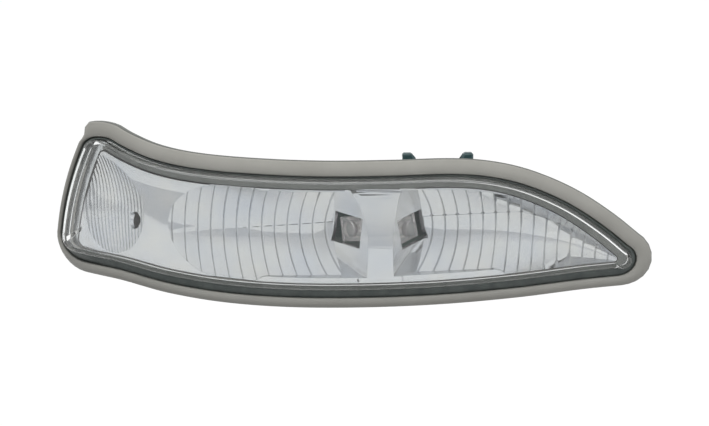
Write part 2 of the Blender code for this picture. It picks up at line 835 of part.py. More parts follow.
def side_bowl_y(x, z):
    """The side bowl: half an ellipsoid whose upper part leans outwards."""
    centre_x, centre_z = SIDE_BOWL_CENTRE
    above = z - centre_z
    across = (x - centre_x + side_bowl_lean(above)) / SIDE_BOWL_WIDTH
    up = above / (SIDE_BOWL_UP if above > 0 else SIDE_BOWL_DOWN)
    return plate_y(x, z) + SIDE_BOWL_DEPTH * (1 - across**2 - up**2)


def side_bowl_places(pitch, rows, reach):
    """A net over the side bowl in bowed columns, as (x, z, number of the column)."""
    centre_x, centre_z = SIDE_BOWL_CENTRE
    half = SIDE_BOWL_WIDTH * reach
    count = 2 * round(half / pitch)
    net = []
    for k in range(count + 1):
        column = []
        for t in range(rows + 1):
            up = 2 * t / rows - 1
            above = up * reach * (SIDE_BOWL_UP if up > 0 else SIDE_BOWL_DOWN)
            bow = SIDE_BOWL_WIDTH * SIDE_RING_BOW * up * up * (1 - k / count)
            x = centre_x - half + k * 2 * half / count + bow - side_bowl_lean(above)
            column.append((x, centre_z + above, k))
        net.append(column)
    return net


def make_side_bowl(cutters):
    places = side_bowl_places(SIDE_RING_PITCH / 2, 6, SIDE_BOWL_REACH)
    net = []
    for column in places:
        relief = SIDE_RING_RELIEF if column[0][2] % 2 else 0.0
        net.append([(x, z, FAR_FRONT, side_bowl_y(x, z) - relief) for x, z, _ in column])
    air = block_between("side_bowl_air", net, cutters)
    coarse = side_bowl_places(SIDE_BOWL_WIDTH / 4, 6, SIDE_POD_REACH)
    return air, block_between("side_pod", pod_net(coarse, side_bowl_y), cutters)


def led_window_cutter(side, cutters):
    """The rectangular window in one LED wall."""
    edge, along, inward = led_wall(side)
    centre = wall_point(side)
    wide, high = LED_WINDOW
    bm = bmesh.new()
    bmesh.ops.create_cube(bm, size=1.0)
    bmesh.ops.scale(bm, vec=(wide, PLATE_WALL * 4, high), verts=bm.verts)
    turn = Matrix((along, inward, Vector((0, 0, 1)))).transposed().to_4x4()
    bmesh.ops.transform(bm, matrix=Matrix.Translation(centre) @ turn, verts=bm.verts)
    return finish("led_window", bm, cutters)


def wall_point(side):
    """The middle of the LED window on the wall's front."""
    edge, along, inward = led_wall(side)
    reach = (LED_WALL_CENTRE - BRIDGE_HALF_WIDTH) / abs(along.x)
    point = edge + along * reach
    return Vector((point.x, point.y, LED_HEIGHT - GAP))


def make_reflector(parts, cutters, colour):
    seat = ring(0.0, SEAT_DEPTH)
    sections = [
        drawn_ring(seat, PLATE_GAP, plate_y),
        drawn_ring(seat, PLATE_GAP, lambda x, z: plate_y(x, z) + PLATE_WALL),
    ]
    reflector = lofted("reflector", sections, parts, colour, rows=3)
    bowls = [make_bowl(side, cutters) for side in (-1, 1)]
    side_air, side_pod = make_side_bowl(cutters)
    bridge, bridge_air, bridge_hollow = make_bridge(cutters)
    limit = make_pod_limit(seat, cutters)
    for pod in (side_pod, bowls[0][1], bowls[1][1], bridge):
        combine(pod, limit, "INTERSECT")
        combine(reflector, pod, "UNION")
    for place in POST_PLACES.values():
        start = bowl_y(-1 if place[0] < 0 else 1, *place) + PLATE_WALL * 0.5
        end = -PAD_HEIGHT - HOUSING_WALL - GAP
        combine(reflector, post("reflector_post", place, start, end, POST_RADIUS, cutters), "UNION")
        tip = -PAD_HEIGHT + GAP - SCREW_LENGTH - GAP
        pilot = post("post_pilot", place, tip, 0.0, SCREW_RADIUS + GAP, cutters)
        combine(reflector, pilot, "DIFFERENCE")
    for air in (bridge_hollow, bowls[0][0], bowls[1][0], bridge_air, side_air):
        combine(reflector, air, "DIFFERENCE")
    for side in (-1, 1):
        combine(reflector, led_window_cutter(side, cutters), "DIFFERENCE")
    combine(reflector, side_window_cutter(cutters), "DIFFERENCE")
    settle(reflector)
    smooth(reflector, radians(25))
    return reflector


def make_pod_limit(seat, cutters):
    """The space in the housing's wall that the bowls and the bridge keep to."""
    inset = PLATE_GAP + POD_INSET
    sections = [
        drawn_ring(seat, inset, lambda x, z: plate_y(x, z) - PLATE_WALL * 2),
        drawn_ring(seat, inset, plate_y),
        drawn_ring(seat, inset + DRAFT, lambda x, z: floor_y(x) - HOUSING_WALL - GAP),
    ]
    return lofted("pod_limit", sections, cutters, rows=3)


def side_window_place():
    """The y and z of the side LED's window, measured back from the plate at the side bowl's inner edge."""
    edge = SIDE_BOWL_CENTRE[0] + SIDE_BOWL_WIDTH
    return plate_y(edge, SIDE_WINDOW_HEIGHT) + SIDE_WINDOW_BEHIND, SIDE_WINDOW_HEIGHT


def side_window_cutter(cutters):
    """A round opening along X through the side bowl's inner wall."""
    y, z = side_window_place()
    start = SIDE_BOWL_CENTRE[0] + SIDE_BOWL_WIDTH * 0.3
    end = SIDE_BOWL_CENTRE[0] + SIDE_BOWL_WIDTH + PLATE_WALL * 1.5
    bm = bmesh.new()
    bmesh.ops.create_cone(
        bm,
        cap_ends=True,
        segments=BORE_STEPS,
        radius1=SIDE_WINDOW_RADIUS,
        radius2=SIDE_WINDOW_RADIUS,
        depth=end - start,
    )
    bmesh.ops.transform(bm, matrix=Matrix.Rotation(radians(90), 4, "Y"), verts=bm.verts)
    bmesh.ops.translate(bm, vec=((start + end) / 2, y, z), verts=bm.verts)
    return finish("side_window", bm, cutters)


# LEDs, their leads and boards


def led_frames():
    """Where each LED's board face is, with +Z the way the LED shines and +X along the board, to the back."""
    frames = {}
    for name, side in (("left", -1), ("right", 1)):
        edge, along, inward = led_wall(side)
        middle = wall_point(side) + inward * LED_SET_BACK
        up = (-inward).cross(along)
        frames[name] = Matrix.Translation(middle) @ Matrix((along, up, -inward)).transposed().to_4x4()
    window_y, window_z = side_window_place()
    x = SIDE_BOWL_CENTRE[0] + SIDE_BOWL_WIDTH + PLATE_WALL * 1.2 + LED_SET_BACK
    along, shine = Vector((0, 1, 0)), Vector((-1, 0, 0))
    turn = Matrix((along, shine.cross(along), shine)).transposed().to_4x4()
    frames["side"] = Matrix.Translation((x, window_y + SIDE_LED_OFFSET, window_z)) @ turn
    return frames


def lead_places():
    half = LEAD_PITCH / 2
    return [(x, y) for x in (-half, half) for y in (-half, half)]


def make_led(name, frame, parts, cutters, colour):
    """A square clear body with a round dome."""
    half = LED_SIZE / 2
    low = GAP * 2 + LEAD_WIDTH
    body = box(f"led_{name}", (-half, -half, low), (half, half, low + LED_THICKNESS), parts, colour)
    bevel(body, LED_SIZE * 0.06)
    settle(body)
    bm = bmesh.new()
    bmesh.ops.create_uvsphere(bm, u_segments=12, v_segments=6, radius=LED_DOME)
    bmesh.ops.translate(bm, vec=(0, 0, low + LED_THICKNESS - LED_DOME * 0.12), verts=bm.verts)
    dome = finish(f"led_{name}_dome", bm, cutters)
    combine(body, dome, "UNION")
    settle(body)
    body.matrix_world = frame
    smooth(body)


def make_leads(name, frame, parts, cutters, colour):
    """Two lead frames: a flat bar under the body with two legs through the board."""
    half = LEAD_PITCH / 2
    wide = LEAD_WIDTH / 2
    for pole, y in (("anode", -half), ("cathode", half)):
        low = (-half - wide, y - wide, GAP)
        high = (half + wide, y + wide, GAP + LEAD_WIDTH)
        lead = box(f"led_{name}_{pole}", low, high, parts, colour)
        for x in (-half, half):
            bottom = -LED_BOARD_THICKNESS - LEAD_TAIL
            leg = box(
                "leg", (x - wide, y - wide, bottom), (x + wide, y + wide, GAP + wide), cutters
            )
            combine(lead, leg, "UNION")
        settle(lead)
        lead.matrix_world = frame


def make_led_board(name, frame, parts, cutters, colour):
    """The board under one LED. It runs back to the main board."""
    to_main = MAIN_BOARD_Y - BOARD_THICKNESS - GAP - frame.translation.y
    slope = frame.col[0].y
    reach = to_main / slope - LED_BOARD_THICKNESS * abs(frame.col[2].y) / slope
    half = LED_BOARD_HEIGHT / 2
    low = (-LED_BOARD_LEAD_IN, -half, -LED_BOARD_THICKNESS)
    board = box(f"led_board_{name}", low, (reach, half, 0.0), parts, colour)
    hole = LEAD_WIDTH / 2 + GAP
    for x, y in lead_places():
        cut = box(
            "lead_hole",
            (x - hole, y - hole, -2 * LED_BOARD_THICKNESS),
            (x + hole, y + hole, LED_BOARD_THICKNESS),
            cutters,
        )
        combine(board, cut, "DIFFERENCE")
    settle(board)
    board.matrix_world = frame


def make_main_board(parts, cutters, colour):
    front = MAIN_BOARD_Y - BOARD_THICKNESS
    low = (MAIN_BOARD_X[0], front, MAIN_BOARD_Z[0])
    board = box("main_board", low, (MAIN_BOARD_X[1], MAIN_BOARD_Y, MAIN_BOARD_Z[1]), parts, colour)
    holes = [(place, SCREW_RADIUS + GAP) for place in BOARD_SCREW_PLACES.values()]
    holes.append((POST_PLACES["left"], POST_RADIUS + 2 * GAP))
    for place, radius in holes:
        cut = post("board_hole", place, 2 * MAIN_BOARD_Y, 0.0, radius, cutters)
        combine(board, cut, "DIFFERENCE")
    bevel(board, BOARD_THICKNESS, angle=radians(80))
    board.modifiers.move(len(board.modifiers) - 1, 0)
    board.modifiers[0].limit_method = "WEIGHT"
    weights = board.data.attributes.new("bevel_weight_edge", "FLOAT", "EDGE")
    for edge in board.data.edges:
        one, other = (board.data.vertices[k].co for k in edge.vertices)
        weights.data[edge.index].value = 1.0 if abs(one.y - other.y) > BOARD_THICKNESS / 2 else 0.0
    settle(board)


def make_components(parts, colours):
    """Chip resistors and a diode on the main board's front."""
    face = MAIN_BOARD_Y - BOARD_THICKNESS - GAP
    wide, thick, high = RESISTOR_SIZE
    for k, (x, z) in enumerate(RESISTOR_PLACES, 1):
        low = (x - wide / 2, face - thick, z - high / 2)
        chip = box(f"resistor_{k}", low, (x + wide / 2, face, z + high / 2), parts, colours["ceramic"])
        bevel(chip, thick * 0.2)
        settle(chip)
    wide, thick, high = DIODE_SIZE
    x, z = DIODE_PLACE
    low = (x - wide / 2, face - thick, z - high / 2)
    diode = box("diode", low, (x + wide / 2, face, z + high / 2), parts, colours["black"])
    bevel(diode, thick * 0.2)
    settle(diode)


# Fasteners, connector, vent and clips


def make_screw(name, place, seat, length, way, parts, colour):
    """A pan-head screw along Y. way is +1 where its tip points to +Y; seat is where its head rests."""
    profile = (
        (0.0, -SCREW_HEAD_HEIGHT),
        (SCREW_HEAD_RADIUS * 0.7, -SCREW_HEAD_HEIGHT),
        (SCREW_HEAD_RADIUS, -SCREW_HEAD_HEIGHT * 0.4),
        (SCREW_HEAD_RADIUS, 0.0),
        (SCREW_RADIUS, 0.0),
        (SCREW_RADIUS, length - SCREW_RADIUS),
        (0.0, length),
    )
    bm = bmesh.new()
    verts = [bm.verts.new((x, 0.0, z)) for x, z in profile]
    edges = [bm.edges.new(pair) for pair in zip(verts, verts[1:])]
    bmesh.ops.spin(
        bm, geom=verts + edges, cent=(0, 0, 0), axis=(0, 0, 1), angle=2 * pi, steps=10, use_merge=True
    )
    bmesh.ops.remove_doubles(bm, verts=bm.verts, dist=1e-6)
    turn = Matrix.Rotation(radians(-90 * way), 4, "X")
    bmesh.ops.transform(bm, matrix=Matrix.Translation((place[0], seat, place[1])) @ turn, verts=bm.verts)
    smooth(finish(name, bm, parts, colour))


def make_screws(parts, colour):
    for name, place in POST_PLACES.items():
        seat = -PAD_HEIGHT + GAP
        make_screw(f"reflector_screw_{name}", place, seat, SCREW_LENGTH, -1, parts, colour)
    for name, place in BOARD_SCREW_PLACES.items():
        seat = MAIN_BOARD_Y - BOARD_THICKNESS - GAP
        make_screw(f"board_screw_{name}", place, seat, BOARD_SCREW_LENGTH, 1, parts, colour)


def make_connector(parts, cutters, colours):
    """A header on the main board, whose shroud passes through the housing, and its two blades."""
    x, z = SOCKET_PLACE
    half_x, half_z = SOCKET_INSIDE[0] / 2, SOCKET_INSIDE[1] / 2
    start = MAIN_BOARD_Y + GAP
    end = start + SOCKET_LENGTH
    low = (x - half_x - SOCKET_WALL, start, z - half_z - SOCKET_WALL)
    high = (x + half_x + SOCKET_WALL, end, z + half_z + SOCKET_WALL)
    shroud = box("connector_shroud", low, high, parts, colours["black"])
    bevel(shroud, SOCKET_WALL * 0.3)
    inside = box(
        "socket", (x - half_x, start + SOCKET_BASE, z - half_z), (x + half_x, end + GAP, z + half_z), cutters
    )
    combine(shroud, inside, "DIFFERENCE")
    key = box(
        "key",
        (x - SOCKET_WALL, start + SOCKET_LENGTH / 2, z + half_z - GAP),
        (x + SOCKET_WALL, end + GAP, z + half_z + SOCKET_WALL * 0.6),
        cutters,
    )
    combine(shroud, key, "DIFFERENCE")
    wide, thick = BLADE
    for name, side in (("plus", -1), ("minus", 1)):
        centre = x + side * BLADE_PITCH / 2
        slot = box(
            "blade_slot",
            (centre - wide / 2 - GAP, start - GAP, z - thick / 2 - GAP),
            (centre + wide / 2 + GAP, start + 2 * SOCKET_BASE, z + thick / 2 + GAP),
            cutters,
        )
        combine(shroud, slot, "DIFFERENCE")
        tip = start + SOCKET_BASE + BLADE_REACH
        blade = box(
            f"terminal_{name}",
            (centre - wide / 2, start, z - thick / 2),
            (centre + wide / 2, tip, z + thick / 2),
            parts,
            colours["tin"],
        )
        bevel(blade, thick * 0.3)
        settle(blade)
    settle(shroud)


def make_vent_plug(parts, colour):
    """A breather cap: a domed disc on a stem that goes through the housing's back."""
    back = -PAD_HEIGHT
    stem_end = back - HOUSING_WALL - GAP
    profile = (
        (0.0, back + GAP + VENT_HEIGHT),
        (VENT_RADIUS * 0.7, back + GAP + VENT_HEIGHT),
        (VENT_RADIUS, back + GAP + VENT_HEIGHT * 0.5),
        (VENT_RADIUS, back + GAP),
        (VENT_STEM_RADIUS, back + GAP),
        (VENT_STEM_RADIUS, stem_end),
        (0.0, stem_end),
    )
    bm = bmesh.new()
    verts = [bm.verts.new((r, y, 0.0)) for r, y in profile]
    edges = [bm.edges.new(pair) for pair in zip(verts, verts[1:])]
    bmesh.ops.spin(
        bm, geom=verts + edges, cent=(0, 0, 0), axis=(0, 1, 0), angle=2 * pi, steps=14, use_merge=True
    )
    bmesh.ops.remove_doubles(bm, verts=bm.verts, dist=1e-6)
    bmesh.ops.translate(bm, vec=(VENT_PLACE[0], 0.0, VENT_PLACE[1]), verts=bm.verts)
    smooth(finish("vent_plug", bm, parts, colour))


def make_clips(parts, cutters, colour):
    """Two spring clips in pockets on the housing's upper wall, each with a hook and one sloping flank."""
    for name, x in CLIP_PLACES.items():
        foot = clip_pocket_base(x) + 2 * GAP
        low = (x - CLIP_WIDTH / 2, CLIP_Y - CLIP_THICKNESS / 2, foot)
        high = (x + CLIP_WIDTH / 2, CLIP_Y + CLIP_THICKNESS / 2, CLIP_TOP)
        clip = box(f"clip_{name}", low, high, parts, colour)
        side = 1 if name == "left" else -1
        shoulder = Vector((x + side * (CLIP_WIDTH / 2 - CLIP_FLANK), CLIP_Y, CLIP_TOP))
        head = CLIP_TOP - CLIP_HOOK * 1.5
        hook = box(
            "hook",
            (x - CLIP_WIDTH / 2, CLIP_Y, head),
            (x + CLIP_WIDTH / 2, CLIP_Y + CLIP_THICKNESS / 2 + CLIP_HOOK, CLIP_TOP),
            cutters,
        )
        flank = Vector((side * CLIP_FLANK_HEIGHT, 0.0, CLIP_FLANK))
        for piece in (clip, hook):
            trim(piece, shoulder, flank)
        combine(clip, hook, "UNION")
        bevel(clip, CLIP_THICKNESS * 0.3)
        settle(clip)
        smooth(clip)


def main():
    clear_scene()
    parts = new_collection("mirror_indicator_lamp")
    cutters = new_collection("cutters", shown=False)
    colours = {
        "grey": plain_material("housing grey", (0.36, 0.36, 0.33), 0.45),
        "clear": plain_material("clear plastic", (0.97, 0.98, 0.98), 0.03, transmission=1.0),
        "seal": plain_material("dark seal", (0.07, 0.085, 0.08), 0.6),
        "chrome": plain_material("metallised", (0.82, 0.83, 0.85), 0.05, metallic=1.0),
        "green": plain_material("board green", (0.01, 0.10, 0.06), 0.4),
        "tin": plain_material("tinned lead", (0.62, 0.62, 0.60), 0.3, metallic=1.0),
        "black": plain_material("black plastic", (0.02, 0.02, 0.02), 0.4),
        "ceramic": plain_material("chip black", (0.03, 0.03, 0.035), 0.5),
        "steel": plain_material("zinc steel", (0.6, 0.6, 0.58), 0.35, metallic=1.0),
        "teal": plain_material("dark teal plastic", (0.02, 0.06, 0.065), 0.35),
    }
    make_housing(parts, cutters, colours["grey"])
    make_lens(parts, colours["clear"])
    make_seal_bead(parts, colours["seal"])
    make_reflector(parts, cutters, colours["chrome"])
    for name, frame in led_frames().items():
        make_led(name, frame, parts, cutters, colours["clear"])
        make_leads(name, frame, parts, cutters, colours["tin"])
        make_led_board(name, frame, parts, cutters, colours["green"])
    make_main_board(parts, cutters, colours["green"])
    make_components(parts, colours)
    make_screws(parts, colours["steel"])
    make_connector(parts, cutters, colours)
    make_vent_plug(parts, colours["black"])
    make_clips(parts, cutters, colours["teal"])


main()
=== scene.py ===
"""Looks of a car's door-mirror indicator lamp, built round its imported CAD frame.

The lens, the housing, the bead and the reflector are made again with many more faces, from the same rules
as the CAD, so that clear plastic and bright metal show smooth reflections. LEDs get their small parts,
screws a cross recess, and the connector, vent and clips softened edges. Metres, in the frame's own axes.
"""

import json
from functools import lru_cache
from math import cos, hypot, pi, radians, sin, sqrt, tan

import bmesh
import bpy
from mathutils import Matrix, Vector


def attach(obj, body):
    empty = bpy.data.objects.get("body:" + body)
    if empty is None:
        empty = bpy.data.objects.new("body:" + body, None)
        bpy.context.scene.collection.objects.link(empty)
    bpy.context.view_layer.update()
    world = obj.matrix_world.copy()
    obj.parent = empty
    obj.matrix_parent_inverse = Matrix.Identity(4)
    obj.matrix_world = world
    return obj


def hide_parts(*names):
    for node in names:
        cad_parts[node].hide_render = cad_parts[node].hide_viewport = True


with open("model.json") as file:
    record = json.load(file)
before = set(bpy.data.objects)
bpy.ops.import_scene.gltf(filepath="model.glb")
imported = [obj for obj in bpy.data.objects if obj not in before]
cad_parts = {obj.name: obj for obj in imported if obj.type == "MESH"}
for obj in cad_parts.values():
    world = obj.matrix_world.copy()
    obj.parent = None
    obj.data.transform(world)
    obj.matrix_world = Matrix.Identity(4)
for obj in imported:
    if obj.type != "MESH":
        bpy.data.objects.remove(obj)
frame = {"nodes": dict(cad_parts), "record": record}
bpy.ops.object.select_all(action="DESELECT")
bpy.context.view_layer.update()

# Outer skin of the lens
FRONT_TO_PAD = 0.034
BOW_RADIUS = 0.54
CROWN_RADIUS = 0.144
WRAP_START = 0.043
WRAP_RUN = 0.054
WRAP_DEPTH = 0.0234

# Window that the reflector is seen through, as x and z on the skin
WINDOW_TOP = (
    (-0.0864, 0.0237), (-0.0800, 0.0209), (-0.0702, 0.0178), (-0.0576, 0.0156), (-0.0396, 0.0140),
    (-0.0180, 0.0131), (0.0036, 0.0132), (0.0216, 0.0135), (0.0324, 0.0125), (0.0423, 0.0099),
    (0.0540, 0.0045), (0.0648, -0.0029), (0.0746, -0.0113),
)
WINDOW_BOTTOM = (
    (-0.0947, -0.0088), (-0.0792, -0.0095), (-0.0630, -0.0125), (-0.0450, -0.0151), (-0.0270, -0.0164),
    (-0.0045, -0.0166), (0.0180, -0.0159), (0.0405, -0.0143), (0.0612, -0.0122), (0.0746, -0.0113),
)
FIRST_TOP_STATION = -0.0840
FIRST_BOTTOM_STATION = -0.0907
LAST_STATION = 0.0700
STATIONS = 84
STATION_CROWDING = 1.2
HEAD_RADIUS = 0.0020
TIP_RADIUS = 0.0012
FOOT_RADIUS = 0.0028
CORNER_STEPS = 10
SIDE_STEPS = 16
END_BOW = 0.0010

# Bands round the window, each as top, bottom, outer end and tip
RIM_WIDTHS = (0.0030, 0.0011, 0.0031, 0.0038)
GROOVE_WIDTHS = (0.0010, 0.0031, 0.0024, 0.0019)
FLANGE_WIDTHS = (0.0048, 0.0033, 0.0012, 0.0050)
FLANGE_TAPER_END = 0.62
FLANGE_TAPER_SPAN = 0.30

LENS_WALL = 0.0020
LENS_EDGE = 0.0013
LENS_EDGE_STEPS = 6
LENS_LEG = 0.0011
LEG_CHAMFER = 0.0002
SEAT_DEPTH = 0.0043
FLANGE_DEPTH = 0.0026
FLANGE_CROWN = 0.00035
FLANGE_THICKNESS = 0.0026
FLANGE_INNER_CHAMFER = 0.00025

# Shares of the flange's width, and on its back each with a share of its thickness
FLANGE_INNER_SHARE = 0.03
FLANGE_CREST_SHARE = 0.40
FLANGE_ROUND_SHARE = 0.80
FLANGE_BACK_STEPS = ((1.0, 0.85), (0.95, 0.97), (0.85, 1.0))
FLANGE_STEPS = 8
ROUNDING_STEPS = 7

# The wall behind the groove, as shares of the housing's wall and of the flange's width
BEHIND_GROOVE = (0.9, 0.85)

# Seat: margins of its band of painted shade, and the part of the outer end's height that is silvered
SEAT_BAND_DEPTHS = (0.0003, 0.0002)
END_SEAT_SHARES = (-0.02, 0.99)
END_SEAT_REACH = 0.0008

# Housing's walls, pad, ribs and floor
HOUSING_WALL = 0.0018
DRAFT = 0.0005
PAD_HEIGHT = 0.0030
PAD_SIZE = (0.018, 0.012)
PAD_EDGE = 0.0008
PAD_HOLE_SPACING = 0.012
PAD_HOLE_RADIUS = 0.0012
PAD_HOLE_DEPTH = 0.0034
RIB_THICKNESS = 0.0012
RIB_HEIGHT = 0.0012
SMALL_EDGE = 0.0003
RIB_PLACES = (-0.064, -0.045, -0.016, 0.0405)
OUTER_END_DROP = 0.0085
OUTER_END_START = 0.071
OUTER_END_RUN = 0.023
TIP_RISE = 0.0115
TIP_RISE_START = 0.038
TIP_RISE_RUN = 0.038

# Room between pieces, and the bead
GAP = 0.0003
BEAD_STEPS = 6
BEAD_CREST = 0.00022
BEAD_FULLER = 0.0019
BEAD_FULLER_START = 0.082
BEAD_FULLER_RUN = 0.010

# Reflector
PLATE_DEPTH = 0.0043
PLATE_WALL = 0.0015
LED_HEIGHT = 0.0
WAIST_HEIGHT = 0.0022
WAIST_RISE = 0.052
WAIST_STEPS = {-1: 0.0002, 1: 0.0004}
WAIST_HIGHEST = 0.8
WAIST_ROW = 0.03
FLUTE_FIRST = 0.0162
FLUTE_PITCH = 0.00383
FLUTE_RELIEF = 0.00042
FLUTE_CURVE = 1.2
FLUTES_BEFORE_BRIDGE = 4
FLUTE_GROOVE = 0.075
FLUTE_GROOVE_SHARE = 0.5
FLUTE_CROWN = 0.16
CELL_CORNER = 0.0006
CELL_CORNER_SHARE = 0.12
CELL_CORNER_WIDTH = 0.2
CELL_CORNER_FADE = 0.15
BOWL_DEPTH = 0.0083
BOWL_END_DEPTH = 0.0048
BOWL_STEEPNESS = 0.8
BOWL_OVERRUN = 1.03
LEFT_BOWL_END = 0.0633
LEFT_CAP_LENGTH = 0.018
CAP_STATIONS = 48
CAP_OVERLAP = 0.0002
CAP_THINNEST = 0.00002
END_STEP = 0.0006
END_STEP_RUN = (0.036, 0.010)
BOWL_SPREAD = 0.47
BOWL_SPREAD_RUN = 0.032
LIP_RUN_OUT = (0.036, 0.008)
LOWER_LIP = 0.21
UPPER_LIP = 0.14
PANEL_FILLET_HEIGHT = 0.0044
PANEL_FILLET_RISE = 0.0016
PANEL_FILLET_START = 0.028
PANEL_FILLET_RUN = 0.020
BRIDGE_HALF_WIDTH = 0.00365
BRIDGE_LEAN = 0.0034
BRIDGE_TWIST_REACH = 0.0182
BRIDGE_BLEND_START = 0.008
BRIDGE_BLEND_RUN = 0.014
BRIDGE_CREASE = -0.0055
BRIDGE_FOOT_SLOPE = 0.03
LED_WALL_ANGLE = radians(39.35)
LED_WALL_CENTRE = 0.0097
LED_WINDOW = (0.0103, 0.0093)
LED_TURNS = {"left": 8.0, "right": 14.0, "side": 0.0}
SIDE_BOWL_CENTRE = (-0.0796, 0.0045)
SIDE_BOWL_WIDTH = 0.0093
SIDE_BOWL_UP = 0.0160
SIDE_BOWL_DOWN = 0.0130
SIDE_BOWL_LEAN_RADIUS = 0.0284
SIDE_BOWL_DEPTH = 0.0070
SIDE_RING_PITCH = 0.0010
SIDE_RING_RELIEF = 0.00027
SIDE_RING_BOW = 0.35
SIDE_WINDOW_RADIUS = 0.0026
SIDE_WINDOW_EDGE = -0.0725
SIDE_WINDOW_BEHIND = 0.0035
SIDE_WINDOW_HEIGHT = 0.0018
SIDE_WINDOW_START = 0.3
SIDE_LED_OFFSET = 0.0010
BRIDGE_ROWS = 27
BRIDGE_AIR_HALF = 0.0105

# Nets over the side bowl: columns to a ring, rows, and reach in half widths
SIDE_AIR_NET = (6, 28, 1.08)
SIDE_POD_NET = (1, 10, 0.97)

# In thicknesses of the reflector's wall. A pod is a bowl's wall from behind
SIDE_WINDOW_BEYOND = 1.5
SIDE_LED_BEYOND = 1.2
POD_FRONT = 0.3
POD_THINNEST = 0.9
POD_BEHIND_WALL = 1.4
POST_SUNK = 0.5

# Room between pods and housing, slot along the bridge's top, and screw posts
POD_CLEARANCES = (0.0002, 0.0007)
SLOT_ENDS = (0.0034, 0.0030)
SLOT_HEIGHTS = (0.0014, 0.0010)
SLOT_DEPTH = 0.0010
POST_PLACES = {"left": (-0.0520, 0.0), "right": (0.0330, 0.0)}
POST_RADIUS = 0.0022

# LEDs and boards
LED_SIZE = 0.00762
LED_THICKNESS = 0.0030
LED_DOME = 0.0026
LED_DOME_SUNK = 0.12
LED_EDGE = 0.0004
LED_SET_BACK = 0.0059
LEAD_WIDTH = 0.0006
LED_FOOT = 2 * GAP + LEAD_WIDTH

# Inside an LED, over its foot: plates from end to end, cup, chip and bond wire
LEAD_PLATE_HALF = 0.0018
LEAD_PLATE_SPANS = ((-0.0027, 0.0012), (0.0016, 0.0027))
LEAD_PLATE_EDGE = 0.00004
LEAD_PLATE_TOP = GAP + 0.0002
CUP_X = -0.0006
CUP_RADII = (0.0005, 0.0013)
CUP_FOOT = GAP + 0.00015
CUP_TOP = LED_FOOT - 0.0001
CHIP_HALF = 0.0002
CHIP_EDGE = 0.00002
CHIP_HEIGHTS = (GAP + 0.0003, GAP + 0.00045)
WIRE_X = 0.0005
WIRE_BEND = 0.0011
WIRE_RADIUS = 0.00003
WIRE_CUT = GAP + 0.00021
WIRE_FLATNESS = 0.45

MAIN_BOARD_Y = -0.0089
BOARD_THICKNESS = 0.0016
STANDOFF_RADIUS = 0.0026
BOARD_SCREW_PLACES = {"left": (-0.0400, -0.0055), "right": (0.0040, -0.0062)}
BOARD_SCREW_LENGTH = 0.0042

# Screws, connector, vent and clips
SCREW_RADIUS = 0.0013
SCREW_HEAD_HEIGHT = 0.0015
SCREW_EDGE = 0.00018
RECESS_HALF = (0.0013, 0.0009, 0.00028)
RECESS_TURN = 20
SOCKET_PLACE = (0.0200, 0.0)
SOCKET_INSIDE = (0.0134, 0.0062)
SOCKET_WALL = 0.0014
SOCKET_EDGE = 0.00025
VENT_PLACE = (-0.0300, 0.0035)
VENT_STEM_RADIUS = 0.0020
CLIP_PLACES = {"left": 0.0097, "right": 0.0269}
CLIP_WIDTH = 0.0044
CLIP_THICKNESS = 0.0018
CLIP_Y = -0.0150
CLIP_TOP = 0.0213
CLIP_POCKET_WALL = 0.0012
CLIP_POCKET_HEIGHT = 0.0026

FAR_FRONT = -0.06
MERGE_DISTANCE = 0.000002

# Camera, as the photograph was taken: low over the lamp, a little to the left of its middle
CAMERA_TARGET = Vector((-0.00765, -0.0270, 0.0051))
CAMERA_ELEVATION = radians(10)
CAMERA_AZIMUTH = radians(-3)
CAMERA_LENS = 150.0
CAMERA_DISTANCE = 0.88625

FLOOR_LEVEL = -0.115
WHITE = (1.0, 1.0, 1.0)

# Soft lamps: name, place, size, power, tint, and whether metal shows them
LAMPS = (
    ("lamp_over", (-0.1, -0.35, 0.75), (0.9, 0.5), 2.0, (1.0, 0.975, 0.91), True),
    ("lamp_front", (0.35, -1.1, 0.45), (0.9, 0.9), 3.0, WHITE, False),
)
LAMP_AIM = Vector((0.0, -0.02, 0.0))

# World and floor: tones for soft light, and what the floor shows the eye
SOFT_LIGHT = 0.60
FLOOR_GLOW = 1.08
FLOOR_SHADE = 0.85
FLOOR_SHADE_SHARE = 0.12
FLOOR_BASE = 0.12

# Card that stands before the lamp and shows only in metal and glass
CARD_PLACE = (0.0, -0.60, -0.075)
CARD_SIZE = (4.0, 0.55)
CARD_TONE = (0.73, 0.735, 0.75)


# Rules of the skin and of the window's outline


def ramp(value):
    held = min(max(value, 0.0), 1.0)
    return held * held * (3 - 2 * held)


def skin_y(x, z):
    wrap = max(0.0, -x - WRAP_START) / WRAP_RUN
    return -FRONT_TO_PAD + x * x / (2 * BOW_RADIUS) + z * z / (2 * CROWN_RADIUS) + WRAP_DEPTH * wrap**3


def skin_slopes(x, z):
    wrap = max(0.0, -x - WRAP_START) / WRAP_RUN
    return x / BOW_RADIUS - 3 * WRAP_DEPTH / WRAP_RUN * wrap**2, z / CROWN_RADIUS


def under_skin(x, z, depth):
    along_x, along_z = skin_slopes(x, z)
    inward = Vector((-along_x, 1.0, -along_z)).normalized()
    return Vector((x, skin_y(x, z), z)) + inward * depth


def smooth_height(points, x):
    """Height at x of the smooth curve through the points."""
    last = len(points) - 1
    i = max(k for k in range(last) if k == 0 or points[k][0] <= x)

    def slope(k):
        before, after = points[max(k - 1, 0)], points[min(k + 1, last)]
        return (after[1] - before[1]) / (after[0] - before[0])

    span = points[i + 1][0] - points[i][0]
    s = (x - points[i][0]) / span
    start, end = points[i][1], points[i + 1][1]
    return (
        start * (1 + 2 * s) * (1 - s) ** 2
        + slope(i) * span * s * (1 - s) ** 2
        + end * s * s * (3 - 2 * s)
        + slope(i + 1) * span * s * s * (s - 1)
    )


def window_top(x):
    return smooth_height(WINDOW_TOP, x)


def window_bottom(x):
    return smooth_height(WINDOW_BOTTOM, x)


